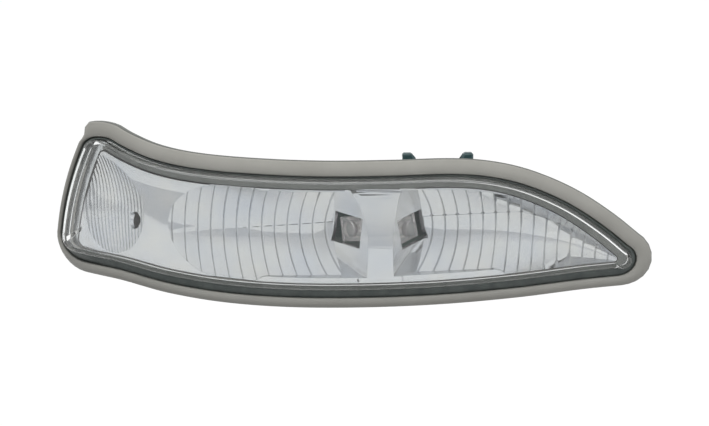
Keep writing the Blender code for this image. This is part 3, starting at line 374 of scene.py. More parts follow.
def fillet(corner, before, after, radius):
    to_before = (before - corner).normalized()
    to_after = (after - corner).normalized()
    half = to_before.angle(to_after) / 2
    centre = corner + (to_before + to_after).normalized() * radius / sin(half)
    start = corner + to_before * radius * cos(half) / sin(half) - centre
    turn = (pi - 2 * half) * (-1 if start.cross(to_before) < 0 else 1)
    arc = []
    for step in range(CORNER_STEPS + 1):
        arc.append(centre + Matrix.Rotation(-turn * step / CORNER_STEPS, 2) @ start)
    return arc


def window_outline():
    """Points along the top, round the tip, back along the bottom and up the outer end."""
    shares = [(k / STATIONS) ** STATION_CROWDING for k in range(STATIONS + 1)]
    top_places = [FIRST_TOP_STATION + (LAST_STATION - FIRST_TOP_STATION) * s for s in shares]
    bottom_places = [FIRST_BOTTOM_STATION + (LAST_STATION - FIRST_BOTTOM_STATION) * s for s in shares]
    top = [Vector((x, window_top(x))) for x in top_places]
    bottom = [Vector((x, window_bottom(x))) for x in reversed(bottom_places)]
    head, tip, foot = (Vector(p) for p in (WINDOW_TOP[0], WINDOW_TOP[-1], WINDOW_BOTTOM[0]))
    tip_arc = fillet(tip, top[-1], bottom[0], TIP_RADIUS)
    foot_arc = fillet(foot, bottom[-1], head, FOOT_RADIUS)
    head_arc = fillet(head, foot, top[0], HEAD_RADIUS)
    rise = head_arc[0] - foot_arc[-1]
    bulge = Vector((-rise.y, rise.x)).normalized() * END_BOW * 4
    shares = [k / SIDE_STEPS for k in range(1, SIDE_STEPS)]
    end = [foot_arc[-1] + rise * s + bulge * s * (1 - s) for s in shares]
    return top + tip_arc + bottom + foot_arc + end + head_arc


def outward_of(outline):
    found = []
    for k, _ in enumerate(outline):
        along = outline[(k + 1) % len(outline)] - outline[k - 1]
        found.append(Vector((-along.y, along.x)).normalized())
    return found


OUTLINE = window_outline()
OUTWARD = outward_of(OUTLINE)


def banded(widths, way):
    top, bottom, outer_end, tip = widths
    along = top if way.y > 0 else bottom
    across = tip if way.x > 0 else outer_end
    return along * way.y**2 + across * way.x**2


def rim_edge(way):
    return banded(RIM_WIDTHS, way)


def groove_edge(way):
    return rim_edge(way) + banded(GROOVE_WIDTHS, way)


def flange_width(way):
    if way.x < 0 < way.y:
        top, _, outer_end, _ = FLANGE_WIDTHS
        return outer_end + (top - outer_end) * ramp((way.y - FLANGE_TAPER_END) / FLANGE_TAPER_SPAN)
    return banded(FLANGE_WIDTHS, way)


def ring(offset, depth):
    """The outline moved outward by offset, at this depth under the skin."""
    flat = []
    for point, way in zip(OUTLINE, OUTWARD):
        flat.append(point + way * (offset(way) if callable(offset) else offset))
    return flat, lambda x, z: under_skin(x, z, depth)


def backed_ring(offset, depth, wall):
    flat, _ = ring(offset, depth)

    def lay(x, z):
        return under_skin(x, z, depth) + Vector((0, wall * hypot(1.0, *skin_slopes(x, z)), 0))

    return flat, lay


def drawn_ring(section, inset, level):
    flat, lay = section
    drawn = []
    for point, way in zip(flat, OUTWARD):
        start = lay(point.x, point.y)
        drawn.append(Vector((start.x - way.x * inset, start.z - way.y * inset)))
    return drawn, lambda x, z: Vector((x, level(x, z), z))


# Making and finishing pieces


def work_on(obj):
    bpy.ops.object.select_all(action="DESELECT")
    obj.select_set(True)
    bpy.context.view_layer.objects.active = obj


def settle(obj):
    """Puts the object at the origin, with its place in its mesh."""
    work_on(obj)
    bpy.ops.object.transform_apply(location=True, rotation=True, scale=True)


def modify(obj, kind, **settings):
    work_on(obj)
    step = obj.modifiers.new(kind.lower(), kind)
    for name, value in settings.items():
        setattr(step, name, value)
    bpy.ops.object.modifier_apply(modifier=step.name)


def cut(obj, tool, operation="DIFFERENCE"):
    modify(obj, "BOOLEAN", operation=operation, object=tool, solver="EXACT")
    bpy.data.objects.remove(tool, do_unlink=True)


def smooth(obj, angle):
    work_on(obj)
    bpy.ops.object.shade_smooth_by_angle(angle=radians(angle))


def rounded(obj, width, segments=2, angle=40):
    modify(
        obj, "BEVEL", width=width, segments=segments, limit_method="ANGLE", angle_limit=radians(angle)
    )


def keep(obj, name, finish, slot, *nodes):
    """Names a finished piece, gives it its finish, and lets it ride on the lamp."""
    obj.name = name
    obj.data.name = name
    obj.data.materials.clear()
    obj.data.materials.append(finish)
    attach(obj, "root")
    if nodes:
        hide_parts(*nodes)
    return obj


def from_mesh(bm, name):
    bmesh.ops.recalc_face_normals(bm, faces=bm.faces)
    mesh = bpy.data.meshes.new(name)
    bm.to_mesh(mesh)
    bm.free()
    obj = bpy.data.objects.new(name, mesh)
    bpy.context.scene.collection.objects.link(obj)
    return obj


def block(low, high):
    low, high = Vector(low), Vector(high)
    bpy.ops.mesh.primitive_cube_add(size=1.0, location=(low + high) / 2, scale=high - low)
    obj = bpy.context.object
    settle(obj)
    return obj


def bar(place, start, end, radius, steps=32, end_radius=None):
    """A round bar along Y at place, which is x and z."""
    bpy.ops.mesh.primitive_cone_add(
        vertices=steps,
        radius1=radius,
        radius2=radius if end_radius is None else end_radius,
        depth=end - start,
        location=(place[0], (start + end) / 2, place[1]),
        rotation=(radians(-90), 0, 0),
    )
    obj = bpy.context.object
    settle(obj)
    return obj


def join_rings(bm, one, other):
    for k, vert in enumerate(one):
        after = (k + 1) % len(one)
        bm.faces.new((vert, one[after], other[after], other[k]))


def zip_chains(bm, one, other):
    i = j = 0
    while i < len(one) - 1 or j < len(other) - 1:
        ahead = (i + 1) / (len(one) - 1) <= (j + 1) / (len(other) - 1)
        if j == len(other) - 1 or (i < len(one) - 1 and ahead):
            corners = (one[i], one[i + 1], other[j])
            i += 1
        else:
            corners = (one[i], other[j + 1], other[j])
            j += 1
        if len(set(corners)) == 3:
            bm.faces.new(corners)


def fill_ring(bm, section, verts, rows):
    """Closes a ring with columns of faces that follow the skin."""
    flat, lay = section
    count = STATIONS + 1
    first_bottom = count + CORNER_STEPS + 1
    columns = []
    for k in range(count):
        low = first_bottom + count - 1 - k
        column = [verts[low]]
        for row in range(1, rows):
            p = flat[low].lerp(flat[k], row / rows)
            column.append(bm.verts.new(lay(p.x, p.y)))
        columns.append(column + [verts[k]])
    for one, other in zip(columns, columns[1:]):
        for row in range(rows):
            bm.faces.new((one[row], other[row], other[row + 1], one[row + 1]))
    tip = [columns[-1][-1]] + verts[count:first_bottom] + [columns[-1][0]]
    outer_end = [columns[0][0]] + verts[first_bottom + count:] + [columns[0][-1]]
    zip_chains(bm, tip, columns[-1][::-1])
    zip_chains(bm, outer_end, columns[0])


def lofted(name, sections, rows=0):
    """A body through rings in order. With rows its end rings are filled, else it closes on itself."""
    bm = bmesh.new()
    rings = [[bm.verts.new(lay(p.x, p.y)) for p in flat] for flat, lay in sections]
    for one, other in zip(rings, rings[1:]):
        join_rings(bm, one, other)
    if rows:
        fill_ring(bm, sections[0], rings[0], rows)
        fill_ring(bm, sections[-1], rings[-1], rows)
    else:
        join_rings(bm, rings[-1], rings[0])
    return from_mesh(bm, name)


def block_between(name, net):
    """A closed block over a net of places. Each is x, z, and the y of its front and of its back."""
    columns, rows = len(net), len(net[0])
    bm = bmesh.new()
    bmesh.ops.create_grid(bm, x_segments=columns - 1, y_segments=rows - 1, size=1.0)
    number = bm.verts.layers.int.new("number")
    for vert in bm.verts:
        column = round((vert.co.x + 1) / 2 * (columns - 1))
        row = round((vert.co.y + 1) / 2 * (rows - 1))
        x, z, front, _ = net[column][row]
        vert.co = (x, front, z)
        vert[number] = column * rows + row
    raised = bmesh.ops.extrude_face_region(bm, geom=bm.faces[:])
    for vert in (v for v in raised["geom"] if isinstance(v, bmesh.types.BMVert)):
        column, row = divmod(vert[number], rows)
        vert.co.y = net[column][row][3]
    bmesh.ops.triangulate(bm, faces=bm.faces)
    return from_mesh(bm, name)


def trim(obj, point, away):
    """Cuts off what lies on the away side of a plane, and closes the cut."""
    work_on(obj)
    bpy.ops.object.mode_set(mode="EDIT")
    bpy.ops.mesh.select_all(action="SELECT")
    bpy.ops.mesh.bisect(plane_co=point, plane_no=away, use_fill=True, clear_outer=True, threshold=1e-7)
    bpy.ops.mesh.select_all(action="SELECT")
    bpy.ops.mesh.normals_make_consistent(inside=False)
    bpy.ops.object.mode_set(mode="OBJECT")


# Finishes


def new_finish(name, **sockets):
    """A material whose even values stand on its shader's own sockets."""
    made = bpy.data.materials.new(name)
    made.use_nodes = True
    shader = made.node_tree.nodes["Principled BSDF"]
    for socket, value in sockets.items():
        shader.inputs[socket.replace("_", " ")].default_value = value
    return made


def node(finish, kind, **inputs):
    made = finish.node_tree.nodes.new(kind)
    for socket, value in inputs.items():
        made.inputs[socket.replace("_", " ")].default_value = value
    return made


def link(finish, source, output, target, socket):
    finish.node_tree.links.new(source.outputs[output], target.inputs[socket])


def noise(finish, size, detail=3.0, rough=0.55, stretch=None):
    """Noise with features of this size over the piece's own coordinates."""
    place = node(finish, "ShaderNodeTexCoord")
    pattern = node(finish, "ShaderNodeTexNoise", Scale=1 / size, Detail=detail, Roughness=rough)
    if stretch:
        mapping = node(finish, "ShaderNodeMapping", Scale=stretch)
        link(finish, place, "Object", mapping, "Vector")
        link(finish, mapping, "Vector", pattern, "Vector")
    else:
        link(finish, place, "Object", pattern, "Vector")
    return pattern


def link_shader(finish, source, output, socket):
    link(finish, source, output, finish.node_tree.nodes["Principled BSDF"], socket)


def colour_over(finish, pattern, stops):
    """Colours the surface by a pattern. stops are places from 0 to 1, each with its colour."""
    tones = node(finish, "ShaderNodeValToRGB")
    set_tones(tones, stops)
    link(finish, pattern, "Fac", tones, "Fac")
    link_shader(finish, tones, "Color", "Base Color")


def set_tones(tones, stops):
    elements = tones.color_ramp.elements
    while len(elements) < len(stops):
        elements.new(0.5)
    for element, (place, colour) in zip(elements, stops):
        element.position = place
        element.color = (*colour, 1.0)


def gloss_over(finish, pattern, low, high):
    spread = node(finish, "ShaderNodeMapRange", From_Min=0.3, From_Max=0.7, To_Min=low, To_Max=high)
    link(finish, pattern, "Fac", spread, "Value")
    link_shader(finish, spread, "Result", "Roughness")


def relief(finish, pattern, depth):
    bump = node(finish, "ShaderNodeBump", Distance=depth, Strength=1.0)
    link(finish, pattern, "Fac", bump, "Height")
    link_shader(finish, bump, "Normal", "Normal")


def moulded(name, dark, light, patch, gloss, grain, depth, **sockets):
    """Moulded plastic: its tone drifts a little, and its skin has a fine grain."""
    finish = new_finish(name, **sockets)
    colour_over(finish, noise(finish, patch, 4.0), ((0.3, dark), (0.7, light)))
    skin = noise(finish, grain, 2.0)
    gloss_over(finish, skin, *gloss)
    relief(finish, skin, depth)
    return finish


def mixed(finish, one, other, share=0.5):
    """A mix of two shaders, each taken from its first output."""
    mix = node(finish, "ShaderNodeMixShader", Fac=share)
    link(finish, one, 0, mix, 1)
    link(finish, other, 0, mix, 2)
    return mix


def lets_light_through(finish):
    """Lamps shine through this clear piece, so that what it covers is lit."""
    nodes = finish.node_tree.nodes
    path = node(finish, "ShaderNodeLightPath")
    through = node(finish, "ShaderNodeBsdfTransparent", Color=(0.9, 0.92, 0.92, 1.0))
    either = mixed(finish, nodes["Principled BSDF"], through)
    link(finish, path, "Is Shadow Ray", either, "Fac")
    link(finish, either, "Shader", nodes["Material Output"], "Surface")


def clear_lens_finish():
    finish = new_finish(
        "clear lens plastic", Base_Color=(0.975, 0.985, 0.982, 1.0), Transmission_Weight=1.0, IOR=1.49
    )
    faint = noise(finish, 0.011, 3.0)
    gloss_over(finish, faint, 0.0, 0.018)
    relief(finish, noise(finish, 0.016, 1.0), 0.000004)
    lets_light_through(finish)
    return finish


def metallised_finish():
    finish = new_finish("metallised reflector", Metallic=1.0, Specular_IOR_Level=0.5)
    tones = ((0.25, (0.520, 0.545, 0.585)), (0.75, (0.605, 0.605, 0.592)))
    colour_over(finish, noise(finish, 0.014, 3.0), tones)
    skin = noise(finish, 0.0022, 2.0)
    gloss_over(finish, skin, 0.035, 0.075)
    relief(finish, skin, 0.0000022)
    return finish


def led_resin_finish():
    finish = new_finish(
        "led clear resin", Base_Color=(0.93, 0.90, 0.90, 1.0), Transmission_Weight=0.80, IOR=1.54
    )
    skin = noise(finish, 0.0009, 2.0)
    gloss_over(finish, skin, 0.01, 0.05)
    relief(finish, skin, 0.000006)
    lets_light_through(finish)
    return finish


def board_finish():
    """Solder resist over copper tracks, which stand up a little under it."""
    finish = new_finish("green circuit board", IOR=1.52, Coat_Weight=0.5, Coat_Roughness=0.15)
    place = node(finish, "ShaderNodeTexCoord")
    tracks = node(
        finish, "ShaderNodeTexBrick", Scale=260.0, Mortar_Size=0.09, Mortar_Smooth=0.2, Brick_Width=1.7
    )
    tracks.offset = 0.37
    turned = node(finish, "ShaderNodeMapping")
    turned.inputs["Rotation"].default_value = (radians(90), 0, 0)
    link(finish, place, "Object", turned, "Vector")
    link(finish, turned, "Vector", tracks, "Vector")
    colour_over(finish, tracks, ((0.0, (0.020, 0.130, 0.090)), (1.0, (0.012, 0.085, 0.062))))
    gloss_over(finish, noise(finish, 0.0007, 2.0), 0.25, 0.42)
    relief(finish, tracks, 0.00003)
    return finish


def metal_finish(name, dark, light, patch, gloss, grain, depth, stretch=None):
    finish = new_finish(name, Metallic=1.0)
    colour_over(finish, noise(finish, patch, 3.0, stretch=stretch), ((0.3, dark), (0.7, light)))
    skin = noise(finish, grain, 3.0, stretch=stretch)
    gloss_over(finish, skin, *gloss)
    relief(finish, skin, depth)
    return finish


def all_finishes():
    """The record's finishes by their slots, then the scene's own ones."""
    return {
        "grey_plastic": moulded(
            "warm grey satin plastic", (0.380, 0.376, 0.348), (0.424, 0.420, 0.392), 0.011,
            (0.36, 0.50), 0.00022, 0.000006, IOR=1.5,
        ),
        "clear_plastic": clear_lens_finish(),
        "dark_seal": moulded(
            "dark sealing bead", (0.066, 0.080, 0.077), (0.112, 0.128, 0.123), 0.004,
            (0.38, 0.60), 0.0005, 0.00003, IOR=1.45,
        ),
        "metallised_plastic": metallised_finish(),
        "led_clear": led_resin_finish(),
        "tinned_lead": metal_finish(
            "tinned copper", (0.55, 0.55, 0.54), (0.72, 0.72, 0.70), 0.0016, (0.22, 0.42), 0.0003, 0.000006
        ),
        "board_green": board_finish(),
        "chip_black": moulded(
            "chip black", (0.020, 0.020, 0.022), (0.038, 0.038, 0.042), 0.0012,
            (0.35, 0.55), 0.0001, 0.000008, IOR=1.5,
        ),
        "black_plastic": moulded(
            "black connector plastic", (0.016, 0.016, 0.017), (0.028, 0.028, 0.029), 0.006,
            (0.38, 0.52), 0.00018, 0.000012, IOR=1.5,
        ),
        "zinc_steel": metal_finish(
            "zinc plated steel", (0.50, 0.51, 0.53), (0.66, 0.66, 0.64), 0.0022, (0.26, 0.44), 0.0004, 0.00001
        ),
        "dark_plastic": moulded(
            "dark clip plastic", (0.018, 0.052, 0.058), (0.034, 0.082, 0.088), 0.003,
            (0.26, 0.40), 0.0003, 0.000008, IOR=1.5,
        ),
        # Painted shade: a darker copy of the grey plastic, laid on the seat under the lens's edge where it
        # lies in shade
        "seat_shade": moulded(
            "weld band under the lens", (0.120, 0.128, 0.118), (0.165, 0.172, 0.160), 0.006,
            (0.42, 0.60), 0.0003, 0.000012, IOR=1.5,
        ),
        "end seat": metal_finish(
            "silvered outer seat", (0.34, 0.35, 0.355), (0.62, 0.64, 0.655), 0.0016, (0.10, 0.24), 0.0006,
            0.00002, stretch=(1.0, 1.0, 0.12),
        ),
        "gold": metal_finish(
            "gold wire", (0.80, 0.56, 0.22), (0.88, 0.66, 0.30), 0.0006, (0.15, 0.3), 0.0002, 0.000002
        ),
        "die": moulded(
            "led chip", (0.46, 0.38, 0.10), (0.62, 0.52, 0.16), 0.0004, (0.3, 0.5), 0.0001, 0.000002
        ),
    }


# Housing


def floor_y(x):
    outer = OUTER_END_DROP * ramp((-x - OUTER_END_START) / OUTER_END_RUN)
    tip = TIP_RISE * ramp((x - TIP_RISE_START) / TIP_RISE_RUN)
    return -PAD_HEIGHT + outer - tip


def smoothed_copy(source, angle):
    """A CAD node's loose triangles merged into one smooth mesh."""
    obj = frame["nodes"][source].copy()
    obj.data = obj.data.copy()
    obj.parent = None
    for key in list(obj.keys()):
        del obj[key]
    bpy.context.scene.collection.objects.link(obj)
    work_on(obj)
    bpy.ops.object.mode_set(mode="EDIT")
    bpy.ops.mesh.select_all(action="SELECT")
    bpy.ops.mesh.customdata_custom_splitnormals_clear()
    bpy.ops.mesh.remove_doubles(threshold=MERGE_DISTANCE)
    bpy.ops.mesh.dissolve_limited(angle_limit=radians(0.5))
    bpy.ops.object.mode_set(mode="OBJECT")
    smooth(obj, angle)
    return obj


def make_housing(finish, seat_shade, silvered):
    """The grey moulding, with its crowned flange, a band of painted shade on the seat that the lens stands
    on, and the seat at the outer end, which took some of the reflector's metal."""

    def crown(share):
        return lambda way: groove_edge(way) + flange_width(way) * share

    def behind_groove(way):
        wall_share, flange_share = BEHIND_GROOVE
        return groove_edge(way) + min(HOUSING_WALL * wall_share, flange_width(way) * flange_share)

    def inner_seat(way):
        return max(rim_edge(way) - LENS_LEG - LEG_CHAMFER, 2 * LEG_CHAMFER)

    inner_wall = ring(0.0, SEAT_DEPTH)
    outer_wall = backed_ring(HOUSING_WALL, SEAT_DEPTH, HOUSING_WALL)
    sections = [
        drawn_ring(inner_wall, DRAFT, lambda x, z: floor_y(x) - HOUSING_WALL),
        inner_wall,
        ring(inner_seat, SEAT_DEPTH),
        ring(groove_edge, SEAT_DEPTH),
        ring(groove_edge, FLANGE_DEPTH + FLANGE_INNER_CHAMFER),
        ring(crown(FLANGE_INNER_SHARE), FLANGE_DEPTH),
    ]
    for step in range(1, FLANGE_STEPS + 1):
        share = FLANGE_INNER_SHARE + (FLANGE_ROUND_SHARE - FLANGE_INNER_SHARE) * step / FLANGE_STEPS
        rise = 1 - (share / FLANGE_CREST_SHARE - 1) ** 2
        sections.append(ring(crown(share), FLANGE_DEPTH - FLANGE_CROWN * rise))
    for step in range(1, ROUNDING_STEPS + 1):
        turn = radians(90) * step / ROUNDING_STEPS
        drop = FLANGE_THICKNESS * 0.5 * (1 - cos(turn))
        share = FLANGE_ROUND_SHARE + (1 - FLANGE_ROUND_SHARE) * sin(turn)
        sections.append(ring(crown(share), FLANGE_DEPTH + drop))
    for share, down in FLANGE_BACK_STEPS:
        sections.append(ring(crown(share), FLANGE_DEPTH + FLANGE_THICKNESS * down))
    sections += [
        ring(behind_groove, FLANGE_DEPTH + FLANGE_THICKNESS),
        backed_ring(behind_groove, SEAT_DEPTH, HOUSING_WALL),
        outer_wall,
        drawn_ring(outer_wall, DRAFT, lambda x, z: floor_y(x)),
    ]
    housing = lofted("housing_moulding", sections, rows=6)
    add_pad_and_ribs(housing)
    add_standoffs(housing)
    add_clip_pockets(housing)
    cut_floor_holes(housing)
    smooth(housing, 32)
    keep(housing, "housing_moulding", finish, "grey_plastic", "housing")
    housing.data.materials.append(seat_shade)
    housing.data.materials.append(silvered)
    # Faces on the seat get the painted shade, a darker copy of the grey; those beside the window's outer end
    # are silvered
    for face in housing.data.polygons:
        if on_seat(face.center):
            face.material_index = 2 if beyond_window(face.center) else 1
    return housing


def on_seat(place):
    """Whether this place lies on the seat under the lens's edge, or on the groove's walls."""
    under = place.y - skin_y(place.x, place.z)
    along = hypot(1.0, *skin_slopes(place.x, place.z))
    below_flange, below_seat = SEAT_BAND_DEPTHS
    return FLANGE_DEPTH + below_flange < under / along < SEAT_DEPTH + below_seat


def beyond_window(place):
    """Whether this place lies beside the window's outer end, inside the groove."""
    head, foot = WINDOW_TOP[0], WINDOW_BOTTOM[0]
    along_x, along_z = skin_slopes(place.x, place.z)
    flat_x = place.x + SEAT_DEPTH * along_x / hypot(1.0, along_x, along_z)
    share = (place.z - foot[1]) / (head[1] - foot[1])
    end = foot[0] + (head[0] - foot[0]) * share
    low, high = END_SEAT_SHARES
    return low < share < high and end - RIM_WIDTHS[2] + LENS_LEG < flat_x < end + END_SEAT_REACH


def add_pad_and_ribs(housing):
    wide, high = PAD_SIZE
    sunk = -PAD_HEIGHT - HOUSING_WALL / 2
    pad = block((-wide / 2, sunk, -high / 2), (wide / 2, 0.0, high / 2))
    rounded(pad, PAD_EDGE, 3)
    cut(housing, pad, "UNION")
    for x in RIB_PLACES:
        low = window_bottom(x) + HOUSING_WALL
        top = window_top(x) - HOUSING_WALL
        level = floor_y(x)
        rib = block(
            (x - RIB_THICKNESS / 2, level - HOUSING_WALL / 2, low),
            (x + RIB_THICKNESS / 2, level + RIB_HEIGHT, top),
        )
        rounded(rib, SMALL_EDGE, 2)
        cut(housing, rib, "UNION")
    for side in (-1, 1):
        cut(housing, bar((side * PAD_HOLE_SPACING / 2, 0.0), -PAD_HOLE_DEPTH, PAD_HEIGHT, PAD_HOLE_RADIUS))


def add_standoffs(housing):
    for place in BOARD_SCREW_PLACES.values():
        end = -PAD_HEIGHT - HOUSING_WALL / 2
        cut(housing, bar(place, MAIN_BOARD_Y + GAP, end, STANDOFF_RADIUS), "UNION")
        tip = MAIN_BOARD_Y - BOARD_THICKNESS + BOARD_SCREW_LENGTH
        cut(housing, bar(place, MAIN_BOARD_Y - GAP, tip, SCREW_RADIUS + GAP))


def add_clip_pockets(housing):
    half_y = CLIP_THICKNESS / 2 + GAP + CLIP_POCKET_WALL
    half_x = CLIP_WIDTH / 2 + GAP + CLIP_POCKET_WALL
    for x in CLIP_PLACES.values():
        base = window_top(x) + HOUSING_WALL - DRAFT
        low = (x - half_x, CLIP_Y - half_y, base - HOUSING_WALL * 0.8)
        high = (x + half_x, CLIP_Y + half_y, base + CLIP_POCKET_HEIGHT)
        pocket = block(low, high)
        rounded(pocket, SMALL_EDGE, 2)
        cut(housing, pocket, "UNION")
        low = (x - half_x + CLIP_POCKET_WALL, CLIP_Y - half_y + CLIP_POCKET_WALL, base + GAP)
        high = (x + half_x - CLIP_POCKET_WALL, CLIP_Y + half_y - CLIP_POCKET_WALL, CLIP_TOP)
        cut(housing, block(low, high))


def cut_floor_holes(housing):
    front, behind = -PAD_HEIGHT - 2 * HOUSING_WALL, PAD_HEIGHT
    for place in POST_PLACES.values():
        cut(housing, bar(place, front, behind, SCREW_RADIUS + GAP))
    cut(housing, bar(VENT_PLACE, front, behind, VENT_STEM_RADIUS + GAP))
    half_x = SOCKET_INSIDE[0] / 2 + SOCKET_WALL + GAP
    half_z = SOCKET_INSIDE[1] / 2 + SOCKET_WALL + GAP
    x, z = SOCKET_PLACE
    cut(housing, block((x - half_x, front, z - half_z), (x + half_x, behind, z + half_z)))


def make_lens(finish):
    """The clear cover: a wall that follows the skin, a rounded edge and a leg that stands in the groove."""

    def inset(amount):
        return lambda way: rim_edge(way) - amount

    foot = SEAT_DEPTH - GAP
    sections = []
    for step in range(LENS_EDGE_STEPS + 1):
        turn = radians(90) * step / LENS_EDGE_STEPS
        sections.append(ring(inset(LENS_EDGE * (1 - sin(turn))), LENS_EDGE * (1 - cos(turn))))
    sections += [
        ring(inset(0.0), foot - LEG_CHAMFER),
        ring(inset(LEG_CHAMFER), foot),
        ring(inset(LENS_LEG - LEG_CHAMFER), foot),
        ring(inset(LENS_LEG), foot - LEG_CHAMFER),
        ring(inset(LENS_LEG), LENS_WALL + GAP),
        ring(inset(LENS_LEG + GAP), LENS_WALL),
    ]
    lens = lofted("lens_moulding", sections, rows=22)
    smooth(lens, 35)
    return keep(lens, "lens_moulding", finish, "clear_plastic", "lens")


def make_bead(finish):
    def inner(way):
        return rim_edge(way) + GAP

    def outer(way):
        return groove_edge(way) - GAP

    foot = SEAT_DEPTH - GAP

    def between(share):
        return lambda way: inner(way) + (outer(way) - inner(way)) * share

    def crest(share):
        """Depth of the bead's top. It is laid fuller at the outer end."""

        def depth(x):
            fuller = BEAD_FULLER * ramp((-x - BEAD_FULLER_START) / BEAD_FULLER_RUN) * (1 - share)
            return (FLANGE_DEPTH + foot) / 2 - fuller - BEAD_CREST * 4 * share * (1 - share)

        return lambda x, z: under_skin(x, z, depth(x))

    sections = [ring(inner, foot)]
    for share in (step / BEAD_STEPS for step in range(BEAD_STEPS + 1)):
        flat, _ = ring(between(share), foot)
        sections.append((flat, crest(share)))
    sections.append(ring(outer, foot))
    bead = lofted("sealing_bead", sections)
    smooth(bead, 40)
    return keep(bead, "sealing_bead", finish, "dark_seal", "seal_bead")


# Reflector


def plate_y(x, z):
    along_x, along_z = skin_slopes(x, z)
    return skin_y(x, z) + PLATE_DEPTH * sqrt(1 + along_x**2 + along_z**2)


@lru_cache(maxsize=None)
def edge_at_plate(edge, x):
    flat = x
    for _ in range(5):
        flat += x - under_skin(flat, edge(flat), PLATE_DEPTH).x
    return under_skin(flat, edge(flat), PLATE_DEPTH).z


def plate_top(x):
    return edge_at_plate(window_top, x)


def plate_bottom(x):
    return edge_at_plate(window_bottom, x)


def panel_fillet(x, z):
    """How far the panel curls forward below its upper edge, at the outer end."""
    outer = ramp((-x - PANEL_FILLET_START) / PANEL_FILLET_RUN)
    up = max(0.0, (z - plate_top(x)) / PANEL_FILLET_HEIGHT + 1)
    return PANEL_FILLET_RISE * outer * min(up, 1.0) ** 2


def waist(x):
    return WAIST_HEIGHT + WAIST_RISE * x


def bridge_lean(x, z):
    rise = max(0.0, (z - BRIDGE_CREASE) / (window_top(0.0) - BRIDGE_CREASE))
    return BRIDGE_LEAN * rise**2 * (1 - x / BRIDGE_TWIST_REACH)


def bridge_y(x, z):
    return plate_y(0.0, 0.0) + bridge_lean(x, z) + BRIDGE_FOOT_SLOPE * max(0.0, BRIDGE_CREASE - z)


def bowl_end(side):
    return LEFT_BOWL_END if side < 0 else WINDOW_TOP[-1][0] - TIP_RADIUS


def bowl_y(side, x, z):
    top, low = plate_top(x), plate_bottom(x)
    spread = BOWL_SPREAD * (1 - ramp((abs(x) - BRIDGE_BLEND_START) / BOWL_SPREAD_RUN))
    half = max((top - low) / 2, 0.001) * (BOWL_OVERRUN + spread)
    across = (z - (top + low) / 2) / half
    end = bowl_end(side)
    cap = max(0.0, (abs(x) - end + LEFT_CAP_LENGTH) / LEFT_CAP_LENGTH) if side < 0 else 0.0
    share = (abs(x) - FLUTE_FIRST) / (end - FLUTE_FIRST)
    depth = min(BOWL_DEPTH + (BOWL_END_DEPTH - BOWL_DEPTH) * max(share, 0.0), BOWL_STEEPNESS * half)
    blend = 1 - ramp((abs(x) - BRIDGE_BLEND_START) / BRIDGE_BLEND_RUN)
    lean = bridge_lean(side * BRIDGE_BLEND_START, min(z, top)) * blend
    return plate_y(x, z) + lean + depth * (1 - across**2 - cap**2)


FLUTE_STATIONS = (0.0, 0.025, 0.05, 0.075, 0.2, 0.35, 0.5, 0.65, 0.8, 0.925, 0.95, 0.975)
BOWL_ROWS = (
    -1.1, -1.04, -0.99, -0.95, -0.91, -0.86, -0.80, -0.72, -0.64, -0.54, -0.44, -0.34, -0.24, -0.12, 0.0,
    WAIST_ROW, 0.10, 0.20, 0.30, 0.40, 0.50, 0.60, 0.68, 0.76, 0.83, 0.89, 0.94, 1.0, 1.06,
)


def bowl_places(side, lipped):
    """A net over one bowl as (x, z, t, part): columns bow about the bridge, and part is the place in a flute.

    Near the bridge a lipped net stops short of the plate's edges, so that upright lips are left there.
    """
    start = FLUTE_FIRST - FLUTES_BEFORE_BRIDGE * FLUTE_PITCH
    end = bowl_end(side) + (FLUTE_PITCH / 2 if side < 0 else 0.0)
    places = []
    k = 0
    while start + k * FLUTE_PITCH < end:
        places += [(start + (k + part) * FLUTE_PITCH, part) for part in FLUTE_STATIONS]
        k += 1
    net = []
    for u, part in [p for p in places if p[0] < end] + [(end, 0.0)]:
        top, low = plate_top(side * u), plate_bottom(side * u)
        line = min(waist(side * u), low + WAIST_HIGHEST * (top - low))
        corner = min(CELL_CORNER, CELL_CORNER_SHARE * (top - line))
        corner *= 1 - ramp(min(part, 1 - part) / CELL_CORNER_WIDTH)
        near = (1 - ramp((u - LIP_RUN_OUT[0]) / LIP_RUN_OUT[1])) if lipped else 0.0
        column = []
        for row in BOWL_ROWS:
            t = row * (1 - near * (UPPER_LIP if row > 0 else LOWER_LIP) / -BOWL_ROWS[0])
            z = line + t * ((top - line) if t > 0 else (line - low))
            if t > 0:
                z += corner * max(0.0, 1 - abs(t - WAIST_ROW) / CELL_CORNER_FADE)
            bow = (z - LED_HEIGHT) ** 2 / (2 * FLUTE_CURVE * max(u, FLUTE_FIRST))
            column.append((side * (u - bow), z, t, part))
        net.append(column)
    return net


def fluted_y(side, x, z, t, part):
    """The bowl with its nearly flat cells, the grooves between them and the step at its waist."""
    cell = ramp(min(part, 1 - part) / FLUTE_GROOVE) * FLUTE_GROOVE_SHARE + FLUTE_CROWN * 4 * part * (1 - part)
    step = WAIST_STEPS[side] if t > 0 else 0.0
    sunk = END_STEP * ramp((-x - END_STEP_RUN[0]) / END_STEP_RUN[1])
    return bowl_y(side, x, z) - FLUTE_RELIEF * cell - step + sunk


def left_bowl_outline():
    """A block that ends where the left bowl's rounded end meets the plate, which leaves a crisp edge."""
    start = LEFT_BOWL_END - LEFT_CAP_LENGTH
    tall = WINDOW_TOP[0][1]
    heights = [(x, -tall, tall) for x in (BRIDGE_HALF_WIDTH, CAP_OVERLAP - start)]
    for k in range(CAP_STATIONS + 1):
        cap = sin(pi / 2 * k / CAP_STATIONS)
        x = -(start + LEFT_CAP_LENGTH * cap)
        top, low = plate_top(x), plate_bottom(x)
        half = max((top - low) / 2 * BOWL_OVERRUN * sqrt(1 - cap**2), CAP_THINNEST)
        heights.append((x, (top + low) / 2 - half, (top + low) / 2 + half))
    net = [[(x, z, FAR_FRONT, 0.0) for z in ends] for x, *ends in heights]
    return block_between("left_bowl_outline", net)


